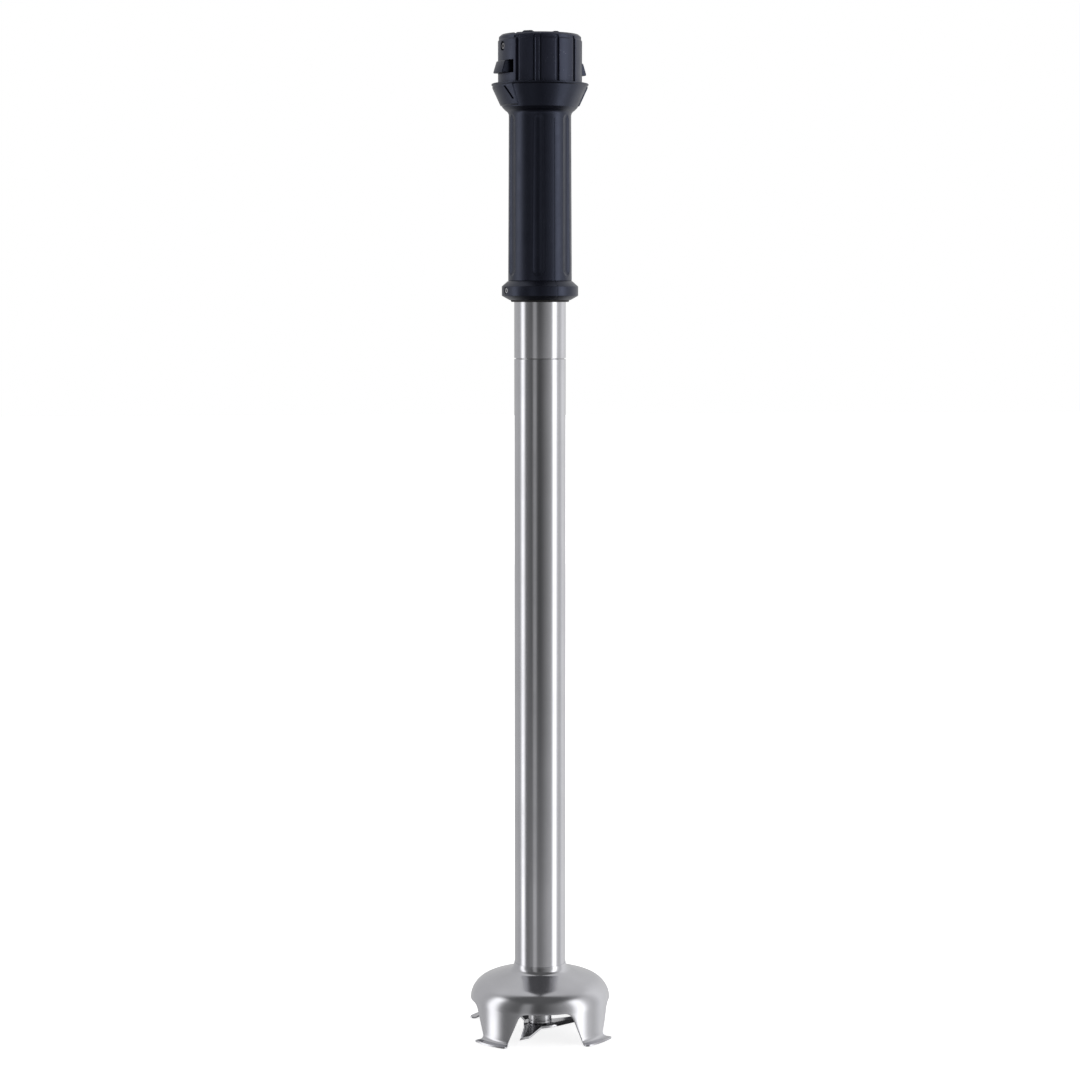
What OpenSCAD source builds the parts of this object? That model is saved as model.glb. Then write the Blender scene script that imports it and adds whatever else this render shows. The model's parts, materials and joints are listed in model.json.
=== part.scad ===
// Detachable blending arm of a commercial immersion blender.
// Units are millimetres. Z is the shaft axis, and z = 0 is the plane that the four feet stand on.
// A side angle of 0 points along +X, and angles grow anticlockwise seen from above.

/* [Tube] */
// Outer diameter of the stainless tube
tube_d = 38; // [36:0.5:40]
// Wall thickness of the tube
tube_wall = 1.2; // [1:0.1:1.5]
// Height of the seam between the lower and the upper tube
seam_z = 505.5; // [480:0.5:520]
// Width of the seam groove
seam_w = 0.8; // [0.4:0.1:1.2]

/* [Bell guard] */
// Outer diameter of the bell
bell_d = 104.8; // [100:0.2:110]
// Diameter over the lips of the feet
feet_d = 120; // [116:0.5:124]
// Sheet thickness of the bell
bell_sheet = 1.2; // [1:0.1:1.5]
// Height of the skirt's lower edge between the legs
skirt_z = 25; // [22:0.5:27]
// Radius of the bell's shoulder
shoulder_r = 16.5; // [14:0.5:18]
// Slope of the bell's roof, in degrees
roof_slope = 18.5; // [15:0.5:22]
// Radius of the fillet between the roof and the tube
neck_fillet_r = 6.5; // [4:0.5:8]
// Half width of a window at the skirt
window_top_half = 19; // [17:0.5:21]
// Half width of a window at the feet
window_foot_half = 28.8; // [26:0.2:30]

/* [Blade] */
// Height of the blade's underside at its hub
blade_z = 3; // [2.6:0.1:4]
// Blade thickness
blade_t = 2; // [1.5:0.1:2.5]
// Radius of the blade's hub disc
blade_hub_r = 12.4; // [11:0.1:14]
// Bend of each wing in degrees, up is positive
wing_bends = [-4.5, 5.5, 19];
// Side angle of the first wing
wing_start = -112; // [-180:1:180]
// Diameter of the blade sleeve
sleeve_d = 17.5; // [15:0.5:20]

/* [Drive] */
// Diameter of the drive shaft
shaft_d = 10; // [8:0.5:12]
// Radial running clearance of the bushes on the shaft
run_gap = 0.05; // [0.02:0.01:0.09]
// Number of balls in the upper bearing
ball_count = 7; // [6:1:8]
// Ball diameter
ball_d = 4.76; // [4.5:0.01:4.8]

/* [Grip] */
// Grip diameter under the guard
grip_top_d = 45.5; // [44:0.5:47]
// Grip diameter above the collar
grip_foot_d = 46.7; // [45:0.1:48]
// Collar diameter
collar_d = 56.1; // [54:0.1:58]
// Diameter of the guard's rim
rim_d = 71; // [68:0.5:74]
// Radius of the tool that sinks the flutes
flute_r = 9; // [7:0.5:12]
// Depth of the flutes
flute_depth = 1; // [0.5:0.1:1.2]

/* [Coupling] */
// Diameter of the coupling spigot
spigot_d = 61.2; // [60:0.1:63]
// Diameter of the socket for the motor's nose
socket_d = 30; // [28:0.5:31]
// Diameter over the two latch lugs
lug_d = 70.4; // [68:0.2:71]
// Inward travel of a latch lug
lug_travel = 4.1; // [3:0.1:4.2]
// Side angle of the first latch lug
lug_angle = 22.5; // [0:0.5:90]
// Width of an axial groove in the spigot
groove_w = 2.2; // [1.5:0.1:3]
// Depth of an axial groove in the spigot
groove_depth = 1.5; // [1:0.1:1.6]

/* [Hidden] */
$fn = 96;
eps = 0.01;

// Tube
tube_r = tube_d / 2;
bore_r = tube_r - tube_wall;
tube_foot_z = 41;
tube_top_z = 600;
joint_sleeve_wall = 1.4;
joint_sleeve_reach = 16;
guide_bush_zs = [150, 270, 390];
guide_bush_h = 12;
guide_hole_ring_r = 11.5;
guide_hole_r = 3.5;

// Shaft and its parts
shaft_r = shaft_d / 2;
blade_top_z = blade_z + blade_t;
shaft_top_z = 706;
sleeve_top_z = 33;
dog_foot_z = 693;
dog_face_z = 708;
dog_top_z = 716;
dog_r = 10;
claw_count = 4;
claw_inner_r = 5;
dog_pin_r = 2;
dog_pin_z = 699;
claw_slot_w = 7;
screw_core_r = 2.5;
blade_screw_head_r = 4.6;
blade_screw_hex_r = 1.6;

// Upper ball bearing, 10 x 26 x 8
bearing_z = 674;
bearing_w = 8;
bearing_r = 13;
bearing_mid_z = bearing_z + bearing_w / 2;
ball_r = ball_d / 2;
ball_ring_r = (shaft_r + bearing_r) / 2;
race_gap = 0.07;
race_land = 1.7;
circlip_t = 1.2;

// Grip, from its foot in the collar up to the guard's rim
collar_foot_z = 548.3;
collar_foot_r = 22.5;
collar_band_low_z = 551.4;
collar_band_high_z = 558.2;
set_screw_z = 555.2;
set_screw_r = 2;
set_screw_hex_r = 1.1;
gasket_z = 546.9;
grip_z = 562.2;
grip_foot_r = 21.5;
grip_seat_z = 553;
flare_z = 679.5;
cone_z = 687.7;
cone_r = 27.3;
rim_z = 705;
dish_z = 703.4;
cup_z = 694;
cup_r = 27;
carrier_z = 650;
carrier_top_z = 693;
carrier_r = 19;
pad_half_angle = 28;
pad_z = 689;
flute_foot_z = 571;
flute_head_z = 678;
mark_angle = 19;
mark_tilt = 30;
mark_r = 33;
mark_z = 697.5;
mark_w = 1.6;
mark_l = 11;
parting_w = 0.4;
parting_depth = 0.2;

// Spigot and latches
spigot_r = spigot_d / 2;
spigot_top_z = 740;
groove_top_z = 737.5;
groove_angles = [30.5, 86.8, 116.3, 147];
rib_angle = 58.8;
rib_w = 4;
rib_slot_w = 0.9;
// Raised lands on the rim: from angle, to angle, rise
rim_lands = [[33.5, 54, 1], [81, 94.5, 0.6]];
notch_w = 3.4;
notch_h = 1.6;
socket_r = socket_d / 2;
socket_floor_z = 718;
throat_r = 12;
socket_chamfer = 1.2;
lug_z = 711.6;
lug_h = 9;
lug_half = 7.2;
guide_half = 12.2;
guide_front_x = 24.4;
lug_back_x = 23.2;
flange_front_x = 26.1;
flange_lip = 2.2;
slot_gap = 0.2;
pocket_back_x = lug_back_x - lug_travel - 0.9;
latch_screw_z = 731;
latch_screw_r = 1.7;
latch_screw_head_r = 2.4;
latch_recess_r = 3.2;
latch_screw_hex_r = 1.3;
pocket_half = guide_half + slot_gap;
spigot_seal_section = 0.9;
spigot_seal_z = 698.8;
spring_r = 2.4;
spring_wire = 0.7;
spring_turns = 5;
spring_offset = 3.6;
spring_seat_x = 30;
spigot_screw_ring_r = 21.8;
spigot_screw_angles = [60, 120, 240, 300];
spigot_screw_r = 1.75;
spigot_screw_foot_z = 688;
spigot_screw_seat_z = 706;
spigot_screw_head_r = 3.4;
spigot_screw_head_h = 3;

// A polygon in (radius, height) turned about the Z axis.
module turned(points) {
    rotate_extrude($fn = 128) polygon(points);
}

// A ring with a rectangular section.
module ring(inner_r, outer_r, z, h) {
    turned([[inner_r, z], [outer_r, z], [outer_r, z + h], [inner_r, z + h]]);
}

// A round section turned about the Z axis.
module o_ring(ring_r, section_r, z) {
    translate([0, 0, z]) rotate_extrude($fn = 96) translate([ring_r, 0]) circle(r = section_r, $fn = 24);
}

// Places its children at the two latches. Local +X points outward through the lug.
module at_latches() {
    for (side = [0, 1])
        at_latch(side) children();
}

module at_latch(side) {
    rotate([0, 0, lug_angle + 180 * side]) children();
}

module at_spigot_screws() {
    for (a = spigot_screw_angles)
        rotate([0, 0, lug_angle + a]) translate([spigot_screw_ring_r, 0, 0]) children();
}

// A cylinder that lies along local +X from x0 to x1 at height z.
module radial_pin(r, x0, x1, z) {
    translate([x0, 0, z]) rotate([0, 90, 0]) cylinder(r = r, h = x1 - x0, $fn = 48);
}

// Points of an arc about a centre, from one angle to another.
function arc(centre, r, from, to, steps) =
    [
        for (i = [0:steps])
            let (a = from + (to - from) * i / steps)
                centre + r * [cos(a), sin(a)]
    ];

// ---- Bell guard ----

bell_r = bell_d / 2;
feet_r = feet_d / 2;
lip_bend_r = 3.6;
lip_rise = 0.4;
shoulder_z = 24.2;
shoulder_c = [bell_r - shoulder_r, shoulder_z];
roof_start = shoulder_c + shoulder_r * [sin(roof_slope), cos(roof_slope)];
neck_r = tube_r + 0.3;
fillet_c_r = neck_r + neck_fillet_r;
fillet_c_z = roof_z(fillet_c_r) + neck_fillet_r / cos(roof_slope);
lip_c = [bell_r + lip_bend_r, lip_bend_r + bell_sheet];
window_corner_r = 5;

// Height of the roof's outer surface at radius r.
function roof_z(r) = roof_start[1] + (roof_start[0] - r) * tan(roof_slope);

function bell_outline() = concat(
    [[feet_r - 1.2, 0], [feet_r - 0.4, 0.1], [feet_r, lip_rise], [feet_r, lip_rise + bell_sheet - 0.2],
     [feet_r - 0.4, lip_rise + bell_sheet - 0.1], [feet_r - 2, bell_sheet]],
    arc(lip_c, lip_bend_r, 270, 180, 8),
    arc(shoulder_c, shoulder_r, 0, 90 - roof_slope, 20),
    arc([fillet_c_r, fillet_c_z], neck_fillet_r, 270 - roof_slope, 180, 10),
    [[tube_r, fillet_c_z], [tube_r, roof_z(tube_r) - bell_sheet / cos(roof_slope)]],
    arc(shoulder_c, shoulder_r - bell_sheet, 90 - roof_slope, 0, 20),
    arc(lip_c, lip_bend_r + bell_sheet, 180, 270, 8)
);

// The opening between two legs, drawn in (width, height).
function window_outline() = concat(
    [[-window_foot_half - 1, -1], [window_foot_half + 1, -1], [window_foot_half, 1.5]],
    arc([window_top_half - window_corner_r, skirt_z - window_corner_r], window_corner_r, 20, 90, 6),
    arc([window_corner_r - window_top_half, skirt_z - window_corner_r], window_corner_r, 90, 160, 6),
    [[-window_foot_half, 1.5]]
);

module bell_guard() {
    color("lightsteelblue")
    difference() {
        turned(bell_outline());
        for (side = [0:3])
            rotate([90, 0, 90 * side]) translate([0, 0, 20])
                linear_extrude(height = 50) polygon(window_outline());
    }
}

// ---- Tube ----

module lower_tube() {
    color("silver")
    ring(bore_r, tube_r, tube_foot_z, seam_z - seam_w / 2 - tube_foot_z);
}

module upper_tube() {
    color("silver")
    ring(bore_r, tube_r, seam_z + seam_w / 2, tube_top_z - seam_z - seam_w / 2);
}

module joint_sleeve() {
    color("gray")
    ring(bore_r - joint_sleeve_wall, bore_r, seam_z - joint_sleeve_reach, 2 * joint_sleeve_reach);
}

module tube_guide_bushes() {
    color("white")
    for (z = guide_bush_zs)
        difference() {
            ring(shaft_r + run_gap, bore_r, z, guide_bush_h);
            for (a = [0:120:240])
                rotate([0, 0, a]) translate([guide_hole_ring_r, 0, z - 1])
                    cylinder(r = guide_hole_r, h = guide_bush_h + 2, $fn = 48);
        }
}

// ---- Foot of the tube ----

housing_lip_z = 36;
housing_top_z = 72;
housing_bore_r = 6;
bush_r = 8;
bush_z = 54;
seal_r = 10;
seal_z = 42;
seal_h = 6;
o_ring_section = 1.1;
o_ring_z = 62;

module foot_housing() {
    color("darkgray")
    difference() {
        turned([
            [housing_bore_r, housing_lip_z + 1],
            [seal_r + 0.6, housing_lip_z], [tube_r - 1, housing_lip_z], [tube_r, housing_lip_z + 1],
            [tube_r, tube_foot_z], [bore_r, tube_foot_z], [bore_r, housing_top_z],
            [bush_r, housing_top_z], [bush_r, bush_z], [housing_bore_r, bush_z]
        ]);
        ring(housing_bore_r - 1, seal_r, housing_lip_z - 1, seal_z + seal_h - housing_lip_z + 1);
        ring(seal_r - eps, seal_r + 0.8, seal_z - circlip_t - 0.2, circlip_t);
        ring(bore_r - 2 * o_ring_section, bore_r + 1, o_ring_z - 1.4, 2.8);
    }
}

module foot_bush() {
    color("peru")
    ring(shaft_r + run_gap, bush_r, bush_z, housing_top_z - bush_z);
}

module shaft_seal() {
    color("black")
    turned([
        [seal_r, seal_z], [seal_r, seal_z + seal_h], [shaft_r + 2.2, seal_z + seal_h],
        [shaft_r + 2.2, seal_z + 2.4], [shaft_r + 1, seal_z + 2.4], [shaft_r + 0.9, seal_z + 4],
        [shaft_r + 0.3, seal_z + 4], [shaft_r + run_gap, seal_z + 3.2], [shaft_r + run_gap, seal_z + 2.6],
        [shaft_r + 0.6, seal_z]
    ]);
}

module seal_retaining_ring() {
    color("dimgray")
    difference() {
        ring(seal_r - 2, seal_r + 0.8, seal_z - circlip_t - 0.2, circlip_t);
        translate([seal_r - 3, -2, seal_z - 3]) cube([5, 4, 4]);
    }
}

module housing_o_ring() {
    color("black")
    o_ring(bore_r - o_ring_section, o_ring_section, o_ring_z);
}

// ---- Blade ----

// One wing in plan: local +X points outward, and the leading edge is the one at negative Y.
wing_root_lead = [10.2, -9.5];
wing_tip_lead = [38.2, -4.1];
wing_tip_trail = [32.2, 2.2];
wing_root_trail = [11.4, 5.05];
wing_bend_x = 10;
edge_t = 0.4;
edge_w = 3;
edge_angle = atan2(wing_tip_lead[1] - wing_root_lead[1], wing_tip_lead[0] - wing_root_lead[0]);
edge_tilt = atan2(blade_t - edge_t, edge_w);

module wing(bend) {
    translate([wing_bend_x, 0, blade_t / 2]) rotate([0, -bend, 0]) translate([-wing_bend_x, 0, -blade_t / 2])
    difference() {
        linear_extrude(height = blade_t)
            polygon([[wing_bend_x - 3, 4], wing_root_lead, wing_tip_lead, wing_tip_trail, wing_root_trail]);
        translate([wing_root_lead[0], wing_root_lead[1], edge_t])
            rotate([0, 0, edge_angle]) rotate([edge_tilt, 0, 0]) translate([-4, -3, 0]) cube([40, 12, 6]);
    }
}

module blade() {
    color("silver")
    difference() {
        translate([0, 0, blade_z])
        union() {
            cylinder(r = blade_hub_r, h = blade_t, $fn = 96);
            for (i = [0:2])
                rotate([0, 0, wing_start + 120 * i]) wing(wing_bends[i]);
        }
        translate([0, 0, blade_z - 1]) cylinder(r = screw_core_r, h = blade_t + 2, $fn = 48);
        turned([
            [0, blade_z - eps], [blade_screw_head_r, blade_z - eps],
            [screw_core_r, blade_top_z - 0.2], [0, blade_top_z - 0.2]
        ]);
    }
}

module blade_screw() {
    color("lightgray")
    difference() {
        turned([
            [0, blade_z], [blade_screw_head_r - eps, blade_z], [screw_core_r, blade_top_z - 0.2],
            [screw_core_r, blade_top_z + 12], [0, blade_top_z + 12]
        ]);
        translate([0, 0, blade_z - 1]) cylinder(r = blade_screw_hex_r, h = 2.2, $fn = 6);
    }
}

module blade_sleeve() {
    color("silver")
    turned([
        [shaft_r, blade_top_z], [sleeve_d / 2 - 0.5, blade_top_z], [sleeve_d / 2, blade_top_z + 0.5],
        [sleeve_d / 2, sleeve_top_z - 1.5], [sleeve_d / 2 - 1.5, sleeve_top_z], [shaft_r, sleeve_top_z]
    ]);
}

// ---- Drive line ----

module drive_shaft() {
    color("gray")
    difference() {
        translate([0, 0, blade_top_z]) cylinder(r = shaft_r, h = shaft_top_z - blade_top_z, $fn = 64);
        translate([0, 0, blade_top_z - 1]) cylinder(r = screw_core_r, h = 13, $fn = 48);
        ring(shaft_r - 0.4, shaft_r + 1, bearing_z - circlip_t, circlip_t);
        radial_pin(dog_pin_r, -dog_r, dog_r, dog_pin_z);
    }
}

module drive_dog() {
    color("dimgray")
    difference() {
        turned([
            [shaft_r, dog_foot_z], [dog_r - 1, dog_foot_z], [dog_r, dog_foot_z + 1], [dog_r, dog_top_z - 0.8],
            [dog_r - 0.8, dog_top_z], [claw_inner_r, dog_top_z], [claw_inner_r, dog_face_z],
            [0, dog_face_z], [0, shaft_top_z], [shaft_r, shaft_top_z]
        ]);
        for (i = [0:claw_count / 2 - 1])
            rotate([0, 0, 360 / claw_count * i])
                translate([-dog_r - 1, -claw_slot_w / 2, dog_face_z])
                    cube([2 * dog_r + 2, claw_slot_w, dog_top_z - dog_face_z + 1]);
        radial_pin(dog_pin_r, -dog_r - 1, dog_r + 1, dog_pin_z);
    }
}

module dog_pin() {
    color("silver")
    radial_pin(dog_pin_r, 0.5 - dog_r, dog_r - 0.5, dog_pin_z);
}

module shaft_spacer() {
    color("silver")
    ring(shaft_r, shaft_r + 2, bearing_z + bearing_w, dog_foot_z - bearing_z - bearing_w);
}

module shaft_circlip() {
    color("black")
    difference() {
        ring(shaft_r - 0.4, shaft_r + 2, bearing_z - circlip_t, circlip_t);
        translate([0, -1.5, bearing_z - circlip_t - 1]) cube([10, 3, circlip_t + 2]);
    }
}

// ---- Upper bearing ----

module ball_track() {
    o_ring(ball_ring_r, ball_r + race_gap, bearing_mid_z);
}

module bearing_outer_race() {
    color("lightgray")
    difference() {
        ring(ball_ring_r + race_land, bearing_r, bearing_z, bearing_w);
        ball_track();
    }
}

module bearing_inner_race() {
    color("lightgray")
    difference() {
        ring(shaft_r, ball_ring_r - race_land, bearing_z, bearing_w);
        ball_track();
    }
}

module at_balls() {
    for (i = [0:ball_count - 1])
        rotate([0, 0, 360 / ball_count * i]) translate([ball_ring_r, 0, bearing_mid_z]) children();
}

module bearing_balls() {
    color("white")
    at_balls() sphere(r = ball_r, $fn = 48);
}

module bearing_cage() {
    color("goldenrod")
    difference() {
        ring(ball_ring_r - 0.9, ball_ring_r + 0.9, bearing_mid_z - 3, 6);
        at_balls() sphere(r = ball_r + 0.15, $fn = 48);
    }
}

module bearing_carrier() {
    color("darkgray")
    turned([
        [shaft_r + 1, carrier_z], [carrier_r, carrier_z],
        [carrier_r, carrier_top_z], [bearing_r, carrier_top_z],
        [bearing_r, circlip_z + circlip_t], [bearing_r + 0.8, circlip_z + circlip_t],
        [bearing_r + 0.8, circlip_z], [bearing_r, circlip_z],
        [bearing_r, bearing_z], [bearing_r - 2.5, bearing_z],
        [bearing_r - 2.5, bearing_z - 3], [shaft_r + 1, bearing_z - 3]
    ]);
}

circlip_z = bearing_z + bearing_w + 1.5;

module wave_washer() {
    color("silver")
    ring(bearing_r - 2.4, bearing_r - 0.1, bearing_z + bearing_w, 1.5);
}

module bearing_circlip() {
    color("black")
    difference() {
        ring(bearing_r - 2.4, bearing_r + 0.8, circlip_z, circlip_t);
        translate([bearing_r - 4, -2.5, circlip_z - 1]) cube([6, 5, circlip_t + 2]);
    }
}

// ---- Grip ----

module flute(angle) {
    rotate([0, 0, angle]) translate([grip_top_d / 2 + flute_r - flute_depth, 0, 0]) {
        translate([0, 0, flute_foot_z]) cylinder(r = flute_r, h = flute_head_z - flute_foot_z, $fn = 64);
        translate([0, 0, flute_foot_z]) sphere(r = flute_r, $fn = 64);
        translate([0, 0, flute_head_z]) sphere(r = flute_r, $fn = 64);
    }
}

// The raised pad on the guard, on one latch's side.
module guard_pad() {
    rotate([0, 0, -pad_half_angle]) rotate_extrude(angle = 2 * pad_half_angle, $fn = 128)
        polygon([
            [26, pad_z], [29.1, pad_z], [rim_d / 2, rim_z - 1.6],
            [33, rim_z - 1.6], [26.5, pad_z + 1]
        ]);
}

module grip_handle() {
    color("black")
    difference() {
        union() {
            turned(concat(
                [[tube_r, grip_seat_z], [grip_foot_r, grip_seat_z], [grip_foot_r, grip_z],
                 [grip_foot_d / 2, grip_z], [grip_top_d / 2, flare_z]],
                arc([cone_r - 0.2, flare_z + 2.2], cone_r - 0.2 - grip_top_d / 2, 180, 120, 6),
                [[cone_r, cone_z], [rim_d / 2 - 1.1, rim_z - 1.8], [rim_d / 2, rim_z - 0.9],
                 [rim_d / 2 - 0.1, rim_z - 0.2], [rim_d / 2 - 0.7, rim_z],
                 [spigot_r + 0.8, dish_z], [cup_r, dish_z], [cup_r, cup_z],
                 [carrier_r, cup_z], [carrier_r, carrier_z], [bore_r, carrier_z - 2],
                 [bore_r, tube_top_z], [tube_r, tube_top_z]]
            ));
            at_latches() guard_pad();
        }
        for (i = [0:5])
            flute(lug_angle + 60 * i);
        at_latches() {
            rotate([0, 0, mark_angle]) translate([mark_r, 0, mark_z])
                rotate([mark_tilt, 0, 0]) cube([5, mark_w, mark_l], center = true);
            rotate([0, 0, 90]) translate([grip_top_d / 2 - parting_depth, -parting_w / 2, grip_z - 1])
                cube([5, parting_w, flare_z - grip_z]);
            radial_pin(set_screw_r, tube_r - 1, grip_foot_r + 1, set_screw_z);
        }
        at_spigot_screws() translate([0, 0, spigot_screw_foot_z])
            cylinder(r = spigot_screw_r, h = 20, $fn = 48);
    }
}

module grip_collar() {
    color("black")
    difference() {
        turned([
            [tube_r, collar_foot_z], [collar_foot_r, collar_foot_z], [collar_d / 2, collar_band_low_z],
            [collar_d / 2, collar_band_high_z], [grip_foot_d / 2 + 0.2, grip_z],
            [grip_foot_r, grip_z], [grip_foot_r, grip_seat_z], [tube_r, grip_seat_z]
        ]);
        at_latches() translate([0, 0, set_screw_z]) rotate([0, 90, 0])
            turned([
                [0, tube_r + 1], [set_screw_r, tube_r + 1], [set_screw_r, collar_d / 2 - 0.6],
                [set_screw_r + 0.6, collar_d / 2 - 0.5], [set_screw_r + 0.6, collar_d / 2 + 1],
                [0, collar_d / 2 + 1]
            ]);
    }
}

module collar_set_screws() {
    color("silver")
    at_latches() difference() {
        radial_pin(set_screw_r, tube_r, collar_d / 2 - 0.4, set_screw_z);
        translate([collar_d / 2 - 2.4, 0, set_screw_z]) rotate([0, 90, 0])
            cylinder(r = set_screw_hex_r, h = 4, $fn = 6);
    }
}

module collar_gasket() {
    color("dimgray")
    turned([[tube_r, gasket_z], [21, gasket_z], [21.8, collar_foot_z], [tube_r, collar_foot_z]]);
}

// ---- Coupling ----

module latch_pocket() {
    pocket_z = lug_z - flange_lip - slot_gap;
    translate([pocket_back_x, -pocket_half, pocket_z])
        cube([flange_front_x + 0.1 - pocket_back_x, 2 * pocket_half, spigot_top_z + 1 - pocket_z]);
    translate([flange_front_x, -pocket_half, lug_z - slot_gap])
        cube([10, 2 * pocket_half, lug_h + 2 * slot_gap]);
}

// An axial groove in the spigot's wall, at a sideways offset from local +X.
module spigot_groove(width, sideways) {
    translate([spigot_r - groove_depth, sideways - width / 2, dish_z - 1])
        cube([5, width, groove_top_z - dish_z + 1]);
}

module rim_land(land) {
    rotate([0, 0, land[0]]) rotate_extrude(angle = land[1] - land[0], $fn = 128)
        polygon([
            [socket_r + 2, spigot_top_z - 1], [spigot_r - 3.2, spigot_top_z - 1],
            [spigot_r - 3.2, spigot_top_z + land[2] - 0.3], [spigot_r - 3.5, spigot_top_z + land[2]],
            [socket_r + 2, spigot_top_z + land[2]]
        ]);
}

module coupling_spigot() {
    color("black")
    difference() {
        union() {
            turned([
                [throat_r, cup_z], [cup_r, cup_z], [cup_r, dish_z], [spigot_r - 0.2, dish_z],
                [spigot_r, dish_z + 3], [spigot_r, 735.5], [spigot_r - 0.7, 736.2],
                [spigot_r - 0.7, spigot_top_z - 1.6], [spigot_r - 2.6, spigot_top_z],
                [socket_r + socket_chamfer, spigot_top_z], [socket_r, spigot_top_z - socket_chamfer],
                [socket_r, socket_floor_z], [throat_r, socket_floor_z]
            ]);
            at_latches()
                for (land = rim_lands)
                    rim_land(land);
        }
        ring(cup_r - 2 * spigot_seal_section, cup_r + 1, spigot_seal_z - 1.2, 2.4);
        at_latches() {
            latch_pocket();
            for (a = groove_angles)
                rotate([0, 0, a]) spigot_groove(groove_w, 0);
            for (sideways = [-1, 1] * (rib_w + rib_slot_w) / 2)
                rotate([0, 0, rib_angle]) spigot_groove(rib_slot_w, sideways);
            radial_pin(latch_screw_r, pocket_back_x + 2, spigot_r + 1, latch_screw_z);
            radial_pin(latch_recess_r, spigot_r - 2, spigot_r + 1, latch_screw_z);
            // key notch beside the first groove
            rotate([0, 0, groove_angles[0]])
                translate([spigot_r - notch_h, -notch_w, groove_top_z - notch_h + 0.2])
                    cube([4, notch_w, notch_h]);
        }
        at_spigot_screws() {
            translate([0, 0, cup_z - 1]) cylinder(r = spigot_screw_r, h = 20, $fn = 48);
            translate([0, 0, spigot_screw_seat_z])
                cylinder(r = spigot_screw_head_r + 0.3, h = 40, $fn = 48);
        }
    }
}

module spigot_screws() {
    color("silver")
    at_spigot_screws()
        difference() {
            union() {
                translate([0, 0, spigot_screw_foot_z])
                    cylinder(
                        r = spigot_screw_r,
                        h = spigot_screw_seat_z + 0.5 - spigot_screw_foot_z, $fn = 48
                    );
                translate([0, 0, spigot_screw_seat_z])
                    cylinder(r = spigot_screw_head_r, h = spigot_screw_head_h, $fn = 48);
            }
            translate([0, 0, spigot_screw_seat_z + spigot_screw_head_h / 2])
                cylinder(r = spigot_screw_head_r / 2, h = spigot_screw_head_h, $fn = 6);
        }
}

module spigot_seal() {
    color("dimgray")
    o_ring(cup_r - spigot_seal_section, spigot_seal_section, spigot_seal_z);
}

module latch_keeper(side) {
    keeper_z = lug_z + lug_h + flange_lip + slot_gap;
    color("dimgray")
    at_latch(side) difference() {
        translate([pocket_back_x, -pocket_half, keeper_z])
            cube([flange_front_x + 0.1 - pocket_back_x, 2 * pocket_half, spigot_top_z - 1 - keeper_z]);
        radial_pin(latch_screw_r, pocket_back_x + 2, spigot_r, latch_screw_z);
    }
}

module latch_keeper_left() {
    latch_keeper(1);
}

module latch_keeper_right() {
    latch_keeper(0);
}

module latch_screws() {
    color("gainsboro")
    at_latches() difference() {
        union() {
            radial_pin(latch_screw_r, pocket_back_x + 2, spigot_r - 1, latch_screw_z);
            radial_pin(latch_screw_head_r, spigot_r - 2, spigot_r - 0.5, latch_screw_z);
        }
        translate([spigot_r - 1.5, 0, latch_screw_z]) rotate([0, 90, 0])
            cylinder(r = latch_screw_hex_r, h = 4, $fn = 6);
    }
}

module latch_lug(side) {
    color("black")
    at_latch(side) difference() {
        union() {
            translate([lug_back_x, -guide_half, lug_z - flange_lip])
                cube([guide_front_x - lug_back_x, 2 * guide_half, lug_h + 2 * flange_lip]);
            translate([lug_back_x, -lug_half, lug_z - flange_lip])
                cube([flange_front_x - lug_back_x, 2 * lug_half, lug_h + 2 * flange_lip]);
            intersection() {
                translate([lug_back_x, -lug_half, lug_z]) cube([20, 2 * lug_half, lug_h]);
                turned([
                    [10, lug_z - 1], [lug_d / 2, lug_z - 1], [lug_d / 2, lug_z + 1.2],
                    [lug_d / 2 - 2.3, lug_z + lug_h - 0.8],
                    [lug_d / 2 - 3.1, lug_z + lug_h], [10, lug_z + lug_h]
                ]);
            }
        }
        for (y = [-spring_offset, spring_offset])
            translate([lug_back_x - 1, y, lug_z + lug_h / 2]) rotate([0, 90, 0])
                cylinder(r = spring_r + 0.5, h = spring_seat_x - lug_back_x + 1, $fn = 48);
    }
}

module latch_lug_left() {
    latch_lug(1);
}

module latch_lug_right() {
    latch_lug(0);
}

// A coil spring along +Z with flat-lying ends, swept as a round wire.
module coil_spring(r, wire_d, length, turns) {
    steps = 14;
    sides = 6;
    last = turns * steps;
    pitch = (length - wire_d) / turns;
    points = [
        for (i = [0:last])
            for (j = [0:sides - 1])
                let (a = 360 * i / steps, b = 360 * j / sides, d = r + wire_d / 2 * cos(b))
                [d * cos(a), d * sin(a), wire_d / 2 + pitch * i / steps + wire_d / 2 * sin(b)]
    ];
    skin = [
        for (i = [0:last - 1])
            for (j = [0:sides - 1])
                let (k = (j + 1) % sides)
                [i * sides + j, i * sides + k, (i + 1) * sides + k, (i + 1) * sides + j]
    ];
    ends = [[for (j = [sides - 1:-1:0]) j], [for (j = [0:sides - 1]) last * sides + j]];
    polyhedron(points = points, faces = concat(skin, ends));
}

module latch_springs(side) {
    color("silver")
    at_latch(side)
        for (y = [-spring_offset, spring_offset])
            translate([pocket_back_x, y, lug_z + lug_h / 2]) rotate([0, 90, 0])
                coil_spring(
                    spring_r - spring_wire / 2, spring_wire,
                    spring_seat_x - pocket_back_x, spring_turns
                );
}

module latch_springs_left() {
    latch_springs(1);
}

module latch_springs_right() {
    latch_springs(0);
}

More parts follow.
